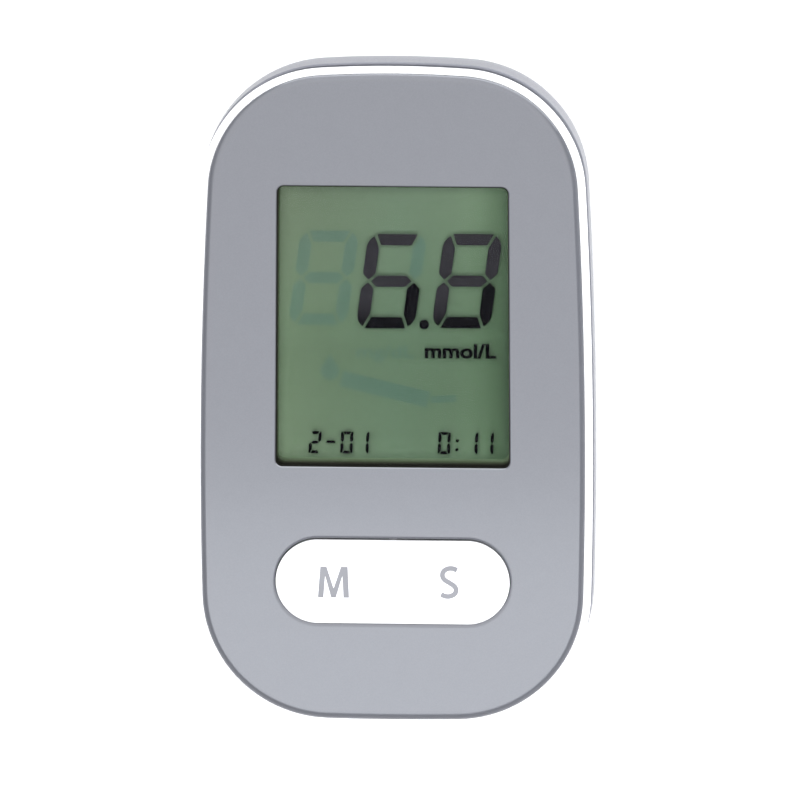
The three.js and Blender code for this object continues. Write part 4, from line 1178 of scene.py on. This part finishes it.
def flat_piece(name, outlines, z, thickness, body, material):
    """Thin closed plates with the given outlines, in one mesh."""
    points, faces = [], []
    for outline in outlines:
        area = sum(a.cross(b) for a, b in zip(outline, [*outline[1:], outline[0]]))
        ring = outline if area > 0 else list(reversed(outline))
        more, sides = prism(ring, z, z + thickness)
        faces += [tuple(i + len(points) for i in face) for face in sides]
        points += more
    dress(raw_object(name, (points, faces)), body, material)


def letter_points(shares, width, centre):
    corner = centre - Vector((width, LETTER_HEIGHT)) / 2 + Vector((0, KEY_Y))
    return [corner + Vector((x * width, y * LETTER_HEIGHT)) for x, y in shares]


def key_letters():
    m_outline = letter_points(M_SHARES, M_WIDTH, M_CENTRE)
    s_outline = stroke(smooth_path(letter_points(S_SHARES, S_WIDTH, S_CENTRE)), S_STROKE)
    for name, outline in (("key_letter_m", m_outline), ("key_letter_s", s_outline)):
        flat_piece(name, [outline], KEY_TOP, LETTER_THICKNESS, "key", KEY_INK)


# Window and display

BEZEL_SIDE_INSET = 0.3
BEZEL_BOTTOM_INSET = 0.75
BEZEL_TOP_INSET = 0.15
BEZEL_MARGIN = 1.1
LINER_GAP = 0.02
LINER_THICKNESS = 0.1
LINER_DROP = 0.2
LINER_TOP = PANEL_HIGH.z - LINER_DROP
LENS_EDGE = 0.1


def window_lens():
    rings = [
        at_height(pane_outline(LENS_MARGIN, LENS_CORNER_RADIUS), LENS_LOW.z),
        at_height(pane_outline(LENS_MARGIN, LENS_CORNER_RADIUS), LENS_HIGH.z - LENS_EDGE),
        at_height(pane_outline(LENS_MARGIN - LENS_EDGE, LENS_CORNER_RADIUS - LENS_EDGE), LENS_HIGH.z),
    ]
    made = raw_object("window_lens", loft(rings))
    stand_in(made, "housing", "clear_lens", "display_lens")


def window_liner():
    """A thin dark wall just inside the face plate's own, which makes the edge of the window opening dark.
    """
    outer = pane_outline(-LINER_GAP, PANE_CORNER_RADIUS - LINER_GAP)
    made = raw_object("window_liner", prism(outer, LENS_HIGH.z + LINER_GAP, LINER_TOP))
    inside = -LINER_GAP - LINER_THICKNESS
    inner = pane_outline(inside, PANE_CORNER_RADIUS + inside)
    combine(made, [prism(inner, LENS_HIGH.z - OVERRUN, LINER_TOP + OVERRUN)], "DIFFERENCE")
    stand_in(made, "housing", "foam")


def window_bezel():
    """The dark surround under the lens, which slopes in towards the display."""
    outer = pane_outline(BEZEL_MARGIN, LENS_CORNER_RADIUS)
    made = raw_object("window_bezel", prism(outer, GASKET_LOW.z, GASKET_HIGH.z))
    rise = GASKET_HIGH.z - GASKET_LOW.z

    def ring(z):
        """The opening's outline: the window's own at the top face, drawn in lower down."""
        share = (GASKET_HIGH.z - z) / rise
        outline = rounded_outline(
            PANE_BOTTOM_HALF_WIDTH - BEZEL_SIDE_INSET * share,
            PANE_TOP_HALF_WIDTH - BEZEL_SIDE_INSET * share,
            PANE_BOTTOM_Y + BEZEL_BOTTOM_INSET * share,
            PANE_TOP_Y - BEZEL_TOP_INSET * share,
            PANE_CORNER_RADIUS,
        )
        return at_height(outline, z)

    reach = rise / 4
    hole = loft([ring(GASKET_LOW.z - reach), ring(GASKET_HIGH.z + reach)])
    combine(made, [hole], "DIFFERENCE")
    stand_in(made, "housing", "foam", "lcd_gasket")


# Liquid crystal figures, between the two glass plates

FIGURE_LIFT = 0.01
FIGURE_THICKNESS = 0.03
FIGURE_Z = span("lcd_rear_glass")[1].z + FIGURE_LIFT
GHOST_Z = span("lcd_reflector")[1].z + FIGURE_LIFT
SLANT = 0.136  # sideways lean for each unit of height
MITRE_GAP_SHARE = 0.55
TIP_GAP_SHARE = 0.44
SHOULDER_SHARE = 0.4


def leaning(points, origin, lean):
    return [origin + Vector((x + lean * y, y)) for x, y in points]


class Digit:
    """Seven segments with mitred joints, in a cell of its own size."""

    def __init__(self, width, height, upright, level, gap, mitre, corner, lean):
        self.width, self.height = width, height
        self.upright, self.level = upright, level
        self.gap, self.mitre, self.corner = gap, mitre, corner
        self.lean = lean
        self.shift = gap * MITRE_GAP_SHARE

    def level_bar(self):
        """The top bar."""
        low_x = self.upright + self.shift
        high_x = low_x - self.mitre * self.level
        left = [(high_x, self.height), (low_x, self.height - self.level)]
        return [*left, *((self.width - x, y) for x, y in reversed(left))]

    def upright_bar(self):
        """The upper left bar, with its rounded shoulder."""
        inner_y = self.height - self.level
        tip_y = self.height / 2 + self.gap * TIP_GAP_SHARE

        def mitre_x(y):
            return self.upright - self.shift - self.mitre * (y - inner_y)

        points = [
            (self.upright, inner_y - self.shift / self.mitre),
            (self.upright, tip_y + self.upright / 2),
            (self.upright / 2, tip_y),
            (0, tip_y + self.upright / 2),
        ]
        for i in range(SMALL_STEPS + 1):
            angle = i / SMALL_STEPS * math.pi / 2
            x = self.corner * (1 - math.cos(angle))
            y = self.height - self.corner * (1 - math.sin(angle))
            if x < mitre_x(y):
                points.append((x, y))
        last_y = points[-1][1]
        end_y = min(last_y + (mitre_x(last_y) - points[-1][0]) * SHOULDER_SHARE, self.height)
        points.append((mitre_x(end_y), end_y))
        return points

    def middle_bar(self):
        half = self.level / 2
        tip = self.upright / 2 + self.gap
        shoulder = tip + half
        left = [(shoulder, half), (tip, 0), (shoulder, -half)]
        points = [*left, *((self.width - x, y) for x, y in reversed(left))]
        return [(x, self.height / 2 + y) for x, y in points]

    def segment(self, letter):
        """A is the top bar, B to F follow it clockwise, and G is the middle bar."""
        if letter == "G":
            return self.middle_bar()
        points = self.level_bar() if letter in "AD" else self.upright_bar()
        across, down = letter in "BC", letter in "CDE"
        return [(self.width - x if across else x, self.height - y if down else y) for x, y in points]

    def outlines(self, letters, origin):
        return [leaning(self.segment(letter), origin, self.lean) for letter in letters]


BIG_DIGIT = Digit(7.67, 12.45, 1.66, 1.48, 0.37, 0.47, 1.85, SLANT)
SMALL_DIGIT = Digit(1.62, 2.95, 0.42, 0.4, 0.1, 0.45, 0.28, 0.05)
SIX_CORNER = Vector((-5.03, 8.7))
EIGHT_CORNER = Vector((4.87, 8.8))
GHOST_EIGHT_CORNER = Vector((-13.9, 9.0))
POINT_PLACE = Vector((3.94, 9.25))
POINT_RADIUS = 0.64
DATE_Y = -7.95
TIME_Y = -7.9
DATE = (("2", -11.21), ("0", -7.06), ("1", -4.96))
TIME = (("0", 5.69), ("1", 9.29), ("1", 11.34))
STROKES = {"0": "ABCDEF", "1": "BC", "2": "ABGED"}
DASH_LEFT = Vector((-8.86, -6.6))
DASH_SIZE = Vector((1.15, 0.38))
COLON_PLACES = [Vector((8.3, -6.1)), Vector((8.23, -7.3))]
COLON_RADIUS = 0.22
UNIT_BOX = (4.02, 13.39, 4.78, 6.76)
UNIT_WEIGHT = 0.03  # how much bolder than the plain font, as a share of the letters' size
GHOST_UNIT_BOX = (-4.9, 2.6, 4.2, 6.3)
GHOST_UNIT_WEIGHT = 0.012


def figure(name, outlines, material, z=FIGURE_Z):
    flat_piece(name, outlines, z, FIGURE_THICKNESS, "housing", material)


def ghost(name, outlines):
    """A figure that is switched off: a faint tint right on the backing."""
    figure(name, outlines, GHOST_INK, GHOST_Z)


def small_digits(places, y):
    """The outlines of small figures whose left sides are given."""
    return [
        outline
        for letter, x in places
        for outline in SMALL_DIGIT.outlines(STROKES[letter], Vector((x, y)))
    ]


def text_figure(name, words, box, weight, material, z=FIGURE_Z):
    """Plain letters stretched to a box, as a thin plate."""
    x0, x1, y0, y1 = box
    curve = bpy.data.curves.new(name, "FONT")
    curve.body = words
    curve.offset = weight
    curve.extrude = 0.5
    curve.resolution_u = TEXT_STEPS
    holder = placed(name, curve)
    bpy.context.view_layer.update()
    depsgraph = bpy.context.evaluated_depsgraph_get()
    mesh = bpy.data.meshes.new_from_object(holder.evaluated_get(depsgraph))
    bpy.data.objects.remove(holder)
    xs = [v.co.x for v in mesh.vertices]
    ys = [v.co.y for v in mesh.vertices]
    scale = Vector(((x1 - x0) / (max(xs) - min(xs)), (y1 - y0) / (max(ys) - min(ys)), FIGURE_THICKNESS))
    move = Vector((x0 - min(xs) * scale.x, y0 - min(ys) * scale.y, z + FIGURE_THICKNESS / 2))
    mesh.transform(Matrix.Translation(move * MM) @ Matrix.Diagonal((scale * MM).to_4d()))
    dress(placed(name, mesh), "housing", material)


def lit_figures():
    figure("lcd_six_upper", BIG_DIGIT.outlines("AFGE", SIX_CORNER), PAINTED_REFLECTION_INK)
    figure("lcd_six_lower", BIG_DIGIT.outlines("CD", SIX_CORNER), DARK_INK)
    figure("lcd_eight_upper", BIG_DIGIT.outlines("ABFGE", EIGHT_CORNER), PAINTED_REFLECTION_INK)
    figure("lcd_eight_lower", BIG_DIGIT.outlines("CD", EIGHT_CORNER), DARK_INK)
    figure("lcd_point", [circle(POINT_PLACE.x, POINT_PLACE.y, POINT_RADIUS, POINT_SIDES)], DARK_INK)
    text_figure("lcd_unit", "mmol/L", UNIT_BOX, UNIT_WEIGHT, DARK_INK)
    dash = [(0, 0), (DASH_SIZE.x, 0), (DASH_SIZE.x, DASH_SIZE.y), (0, DASH_SIZE.y)]
    figure("lcd_date", [leaning(dash, DASH_LEFT, SLANT), *small_digits(DATE, DATE_Y)], DARK_INK)
    colon = [circle(p.x, p.y, COLON_RADIUS, COLON_SIDES) for p in COLON_PLACES]
    figure("lcd_time", [*colon, *small_digits(TIME, TIME_Y)], DARK_INK)


GHOST_BAR_LEFT = Vector((-6.9, 1.9))
GHOST_BAR_RIGHT = Vector((4.5, -0.8))
GHOST_BAR_WIDTH = 2.1
GHOST_TAIL_RIGHT = Vector((8.1, -0.6))
GHOST_TAIL_GAP = 0.25
GHOST_TAIL_WIDTH = 0.9
DROP_CENTRE = Vector((-8.4, 2.9))
DROP_RADIUS = 1.2
DROP_HEIGHT = 3.4
DROP_TAPER = math.radians(52)


def drop_outline():
    """A round drop with a pointed top."""
    tip = DROP_CENTRE + Vector((0, DROP_HEIGHT - DROP_RADIUS))
    start, stop = math.pi / 2 + DROP_TAPER, 5 * math.pi / 2 - DROP_TAPER
    return [tip, *arc(DROP_CENTRE, DROP_RADIUS, start, stop, DROP_STEPS)]


def unlit_figures():
    ghost("lcd_ghost_eight", BIG_DIGIT.outlines("ABCDEFG", GHOST_EIGHT_CORNER))
    ghost("lcd_ghost_six", BIG_DIGIT.outlines("B", SIX_CORNER))
    ghost("lcd_ghost_bar", [stroke([GHOST_BAR_LEFT, GHOST_BAR_RIGHT], GHOST_BAR_WIDTH)])
    tail_left = GHOST_BAR_RIGHT + Vector((GHOST_TAIL_GAP, 0))
    ghost("lcd_ghost_tail", [stroke([tail_left, GHOST_TAIL_RIGHT], GHOST_TAIL_WIDTH)])
    ghost("lcd_ghost_drop", [drop_outline()])
    text_figure("lcd_ghost_unit", "mg/dL", GHOST_UNIT_BOX, GHOST_UNIT_WEIGHT, GHOST_INK, GHOST_Z)


# Cells, springs and screws


# A dry cell's profile: radius and height of its base, inset and height of its foot,
# inset and depth of its crimped shoulder, and how far its button's foot and head lie out and up
CELL_BASE = [(0, 0.15), (2.6, 0.15), (2.9, 0)]
CELL_FOOT = [(0.55, 0), (0.16, 0.14), (0, 0.5)]
CELL_SHOULDER = [(0, 1.0), (0.12, 0.85), (0.12, 0.55), (0, 0.4), (0.12, 0.1), (0.5, 0)]
BUTTON_FOOT = [(0.5, -0.12), (0.06, -0.1), (0, 0.1)]
BUTTON_HEAD = [(0, -0.25), (-0.25, 0)]
BUTTON_RADIUS = 1.9
BUTTON_LENGTH = 0.9


def cell_profile(length):
    can = length - BUTTON_LENGTH
    return [
        *CELL_BASE,
        *((BATTERY_RADIUS - inset, height) for inset, height in CELL_FOOT),
        *((BATTERY_RADIUS - inset, can - depth) for inset, depth in CELL_SHOULDER),
        *((BUTTON_RADIUS + out, can + up) for out, up in BUTTON_FOOT),
        *((BUTTON_RADIUS + out, length + up) for out, up in BUTTON_HEAD),
        (0, length),
    ]


def dry_cell(name, node):
    """A cell along Y; its button end is towards +Y on the left and -Y on the right."""
    low, high = span(node)
    points, faces = lathe(cell_profile(high.y - low.y), ROUND_SIDES)
    facing = 1 if (low.x + high.x) < 0 else -1
    base_y = low.y if facing > 0 else high.y
    turned = [Vector((p.x * facing, base_y + facing * p.z, -p.y)) for p in points]
    centre = Vector(((low.x + high.x) / 2, 0, (low.z + high.z) / 2))
    faces = [tuple(reversed(face)) for face in faces]
    made = raw_object(name, ([centre + p for p in turned], faces))
    made.data.flip_normals()
    stand_in(made, "housing", "battery_can", node)


COIL_TURNS = 3.5
COIL_WIRE = 0.3
COIL_WIRE_SHARE = 0.97
COIL_BASE_RADIUS = 3.2
COIL_TIP_RADIUS = 2.1
COIL_STEPS = 150


def contact_spring(name, node, facing):
    low, high = span(node)
    length = high.y - low.y
    base_y = low.y if facing > 0 else high.y
    centre_x = BATTERY_X * -facing
    path = []
    for i in range(COIL_STEPS + 1):
        t = i / COIL_STEPS
        angle = t * COIL_TURNS * 2 * math.pi
        radius = COIL_BASE_RADIUS + (COIL_TIP_RADIUS - COIL_BASE_RADIUS) * t
        rise = COIL_WIRE + t * (length - 2 * COIL_WIRE)
        path.append(Vector((
            centre_x + facing * radius * math.cos(angle),
            base_y + facing * rise,
            BATTERY_Z - radius * math.sin(angle),
        )))
    made = raw_object(name, tube(path, COIL_WIRE * COIL_WIRE_SHARE))
    stand_in(made, "housing", "bright_steel", node)


SCREW_DOME = [(0, 0), (0.45, 0.02), (0.78, 0.16), (0.94, 0.4), (1, 0.62), (1, SCREW_HEAD_HEIGHT)]
THREAD_TURNS = 9
THREAD_PITCH = 0.75
THREAD_START = 0.5
THREAD_SHARES = [(0.82, 0), (1, 0.35), (0.82, 0.7)]  # of the shank's radius and of the pitch
SCREW_POINT_LENGTH = 0.2
SCREW_POINT_SHARE = 0.5
CROSS_TAPER_SHARE = 0.55  # how long an arm of the cross is at its bottom
FIRST_SCREW_TURN = math.radians(25)
SCREW_TURN = math.radians(70)


def screw_profile():
    """A domed head, whose radii are shares of its own, over a threaded shank."""
    profile = [(SCREW_HEAD_RADIUS * share, z) for share, z in SCREW_DOME]
    profile.append((SCREW_SHANK_RADIUS, SCREW_HEAD_HEIGHT))
    for i in range(THREAD_TURNS):
        z = SCREW_HEAD_HEIGHT + THREAD_START + i * THREAD_PITCH
        profile += [(SCREW_SHANK_RADIUS * wide, z + THREAD_PITCH * up) for wide, up in THREAD_SHARES]
    tip_z = SCREW_HEAD_HEIGHT + SCREW_LENGTH
    return [*profile, (SCREW_SHANK_RADIUS * SCREW_POINT_SHARE, tip_z - SCREW_POINT_LENGTH), (0, tip_z)]


def cross_arm(wide, long, low_wide, low_long):
    """A cut for one arm of the cross in a screw's head: its half sizes at the face and at its bottom."""

    def corners(x, y):
        return [Vector(p) for p in ((-x, -y), (x, -y), (x, y), (-x, y))]

    levels = ((wide, long, -OVERRUN), (wide, long, 0), (low_wide, low_long, SCREW_CROSS_DEPTH))
    return loft([at_height(corners(x, y), z) for x, y, z in levels])


def case_screws():
    made = raw_object("case_screw", lathe(screw_profile(), SCREW_SIDES))
    half, arm = SCREW_CROSS_WIDTH / 2, SCREW_CROSS_REACH
    low_arm = arm * CROSS_TAPER_SHARE
    cross = [cross_arm(half, arm, half, low_arm), cross_arm(arm, half, low_arm, half)]
    combine(made, cross, "DIFFERENCE")
    for i, node in enumerate(SCREW_NODES):
        low, high = span(node)
        copy = placed(f"housing_screw_{i + 1}", made.data.copy())
        turn = Matrix.Rotation(FIRST_SCREW_TURN + SCREW_TURN * i, 4, "Z")
        middle = (low + high) / 2
        copy.data.transform(Matrix.Translation(Vector((middle.x, middle.y, low.z)) * MM) @ turn)
        stand_in(copy, "housing", "bright_steel", node)
    bpy.data.objects.remove(made)


# CAD nodes that stay, with their finish

KEPT = {
    "display_glass": ["lcd_front_glass", "lcd_rear_glass"],
    "display_ground": ["lcd_reflector"],
    "dark_plastic": [
        "lcd_holder", "strip_port", "key_switch_m_body", "key_switch_s_body",
        "key_switch_m_plunger", "key_switch_s_plunger",
    ],
    "conductive_rubber": ["elastomer_strip_upper", "elastomer_strip_lower"],
    "circuit_board": ["main_board"],
    "chip_body": ["microcontroller", "memory_chip", "analog_chip", "buzzer"],
    "bright_steel": [
        "crystal", "terminal_negative", "terminal_positive", "terminal_bridge", *BOARD_SCREW_NODES,
    ],
    "gold_contact": [f"strip_contact_{i}" for i in range(1, 5)],
}


def finish_kept_nodes():
    for slot, names in KEPT.items():
        for name in names:
            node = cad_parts[name]
            node.data.materials.clear()
            node.data.materials.append(MATERIALS[slot])


# Stage: floor, light and camera

CAMERA_TILT = math.radians(10.0)  # towards the meter's top end
CAMERA_SIDE = math.radians(3.2)  # towards its right side
CAMERA_DISTANCE = 1500.0
FIELD_WIDTH = 104.2
SENSOR = 36.0
CAMERA_CLIP = (50.0, 20000.0)
IMAGE_CENTRE = Vector((0.98, -0.18, PANEL_HIGH.z))
FLOOR_HALF = 2500.0
FLOOR_PATCHES = (200.0, 2.0)
FLOOR_TONES = [(0.92, 0.92, 0.92, 1), (0.95, 0.95, 0.95, 1)]
WORLD_SLOPE = (-0.12, 0.5, 1.0)  # the world grows brighter this way
WORLD_SHARES = [(0, 0.4), (0.08, 0.35), (0.25, 0.2), (0.64, 0.2), (0.84, 0.9), (1, 1.0)]
WORLD_CAST = (0.98, 0.98, 1.0)
WORLD_STRENGTH = 1.45
CLEAR_LAYERS = 32  # faces of clear plates that light may pass on its way to the display and back
LIGHTS = {
    "top_light": dict(
        place=(-150, 560, 1150), target=(0, 0, 0), size=(1000, 800), power=12.5, mirrored=False
    ),
    "front_fill": dict(
        place=(0, -170, 400), target=(0, -60, 0), size=(300, 150), power=1.25, mirrored=False
    ),
    "front_card": dict(
        place=(0, -145, 400), target=(0, 0, 20), size=(420, 120), power=0.22, tone=(0.88, 0.94, 1.0)
    ),
    "right_wash": dict(
        place=(700, 60, 160), target=(0, 0, 8), size=(600, 200), power=4, mirrored=False
    ),
    "back_card": dict(
        place=(250, 900, 175), target=(0, 0, 20), size=(1900, 320), power=6.4,
        tone=(0.92, 0.96, 1.0), spreads=False,
    ),
}


def stage_floor():
    half = FLOOR_HALF * MM
    corners = [(-half, -half, 0), (half, -half, 0), (half, half, 0), (-half, half, 0)]
    mesh = bpy.data.meshes.new("floor")
    mesh.from_pydata(corners, [], [range(len(corners))])
    floor = placed("floor", mesh)
    paint = Paint("floor", Roughness=0.9)
    paint.base(paint.tones(paint.noise(*FLOOR_PATCHES), *FLOOR_TONES))
    mesh.materials.append(paint.material)


def area_light(name, place, target, size, power, tone=(1, 1, 1), spreads=True, mirrored=True):
    """A soft light. One that doesn't spread only makes highlights. One that isn't mirrored makes none."""
    light = bpy.data.lights.new(name, "AREA")
    light.shape = "RECTANGLE"
    light.size, light.size_y = (side * MM for side in size)
    light.energy = power
    light.color = tone
    made = placed(name, light)
    made.location = Vector(place) * MM
    towards = (Vector(target) - Vector(place)).normalized()
    made.rotation_mode = "QUATERNION"
    made.rotation_quaternion = towards.to_track_quat("-Z", "Y")
    made.visible_diffuse, made.visible_glossy = spreads, mirrored


def studio_world():
    """Soft light from overhead, dim at the sides and pale again at the horizon."""
    world = bpy.data.worlds.new("studio")
    bpy.context.scene.world = world
    world.use_nodes = True
    nodes, links = world.node_tree.nodes, world.node_tree.links
    slope = nodes.new("ShaderNodeVectorMath")
    slope.operation = "DOT_PRODUCT"
    slope.inputs[1].default_value = WORLD_SLOPE
    links.new(nodes.new("ShaderNodeTexCoord").outputs["Generated"], slope.inputs[0])
    level = nodes.new("ShaderNodeValToRGB")
    fill_ramp(level.color_ramp, [(place, cast(share, WORLD_CAST)) for place, share in WORLD_SHARES])
    links.new(slope.outputs["Value"], level.inputs["Fac"])
    links.new(level.outputs["Color"], nodes["Background"].inputs["Color"])
    nodes["Background"].inputs["Strength"].default_value = WORLD_STRENGTH


def stage_lights():
    studio_world()
    for name, settings in LIGHTS.items():
        area_light(name, **settings)


def stage_camera():
    camera = placed("camera", bpy.data.cameras.new("camera"))
    camera.data.sensor_width = SENSOR
    camera.data.lens = SENSOR * CAMERA_DISTANCE / FIELD_WIDTH
    camera.data.clip_start, camera.data.clip_end = (reach * MM for reach in CAMERA_CLIP)
    back = Vector((math.tan(CAMERA_SIDE), math.tan(CAMERA_TILT), 1)).normalized()
    up = Vector((0, 1, 0))
    up = (up - up.dot(back) * back).normalized()
    across = up.cross(back)
    turn = Matrix((across, up, back)).transposed().to_4x4()
    camera.matrix_world = Matrix.Translation((IMAGE_CENTRE + back * CAMERA_DISTANCE) * MM) @ turn
    bpy.context.scene.camera = camera


def build():
    face_plate()
    upper_housing()
    lower_shell()
    back_door()
    key_cap()
    key_letters()
    window_lens()
    window_liner()
    window_bezel()
    lit_figures()
    unlit_figures()
    dry_cell("cell_left", "battery_cell_left")
    dry_cell("cell_right", "battery_cell_right")
    contact_spring("spring_left", "terminal_spring", 1)
    contact_spring("spring_right", "bridge_spring", -1)
    case_screws()
    finish_kept_nodes()


build()
stage_floor()
stage_lights()
stage_camera()
bpy.context.scene.view_settings.view_transform = "Standard"
bpy.context.scene.cycles.transparent_max_bounces = CLEAR_LAYERS
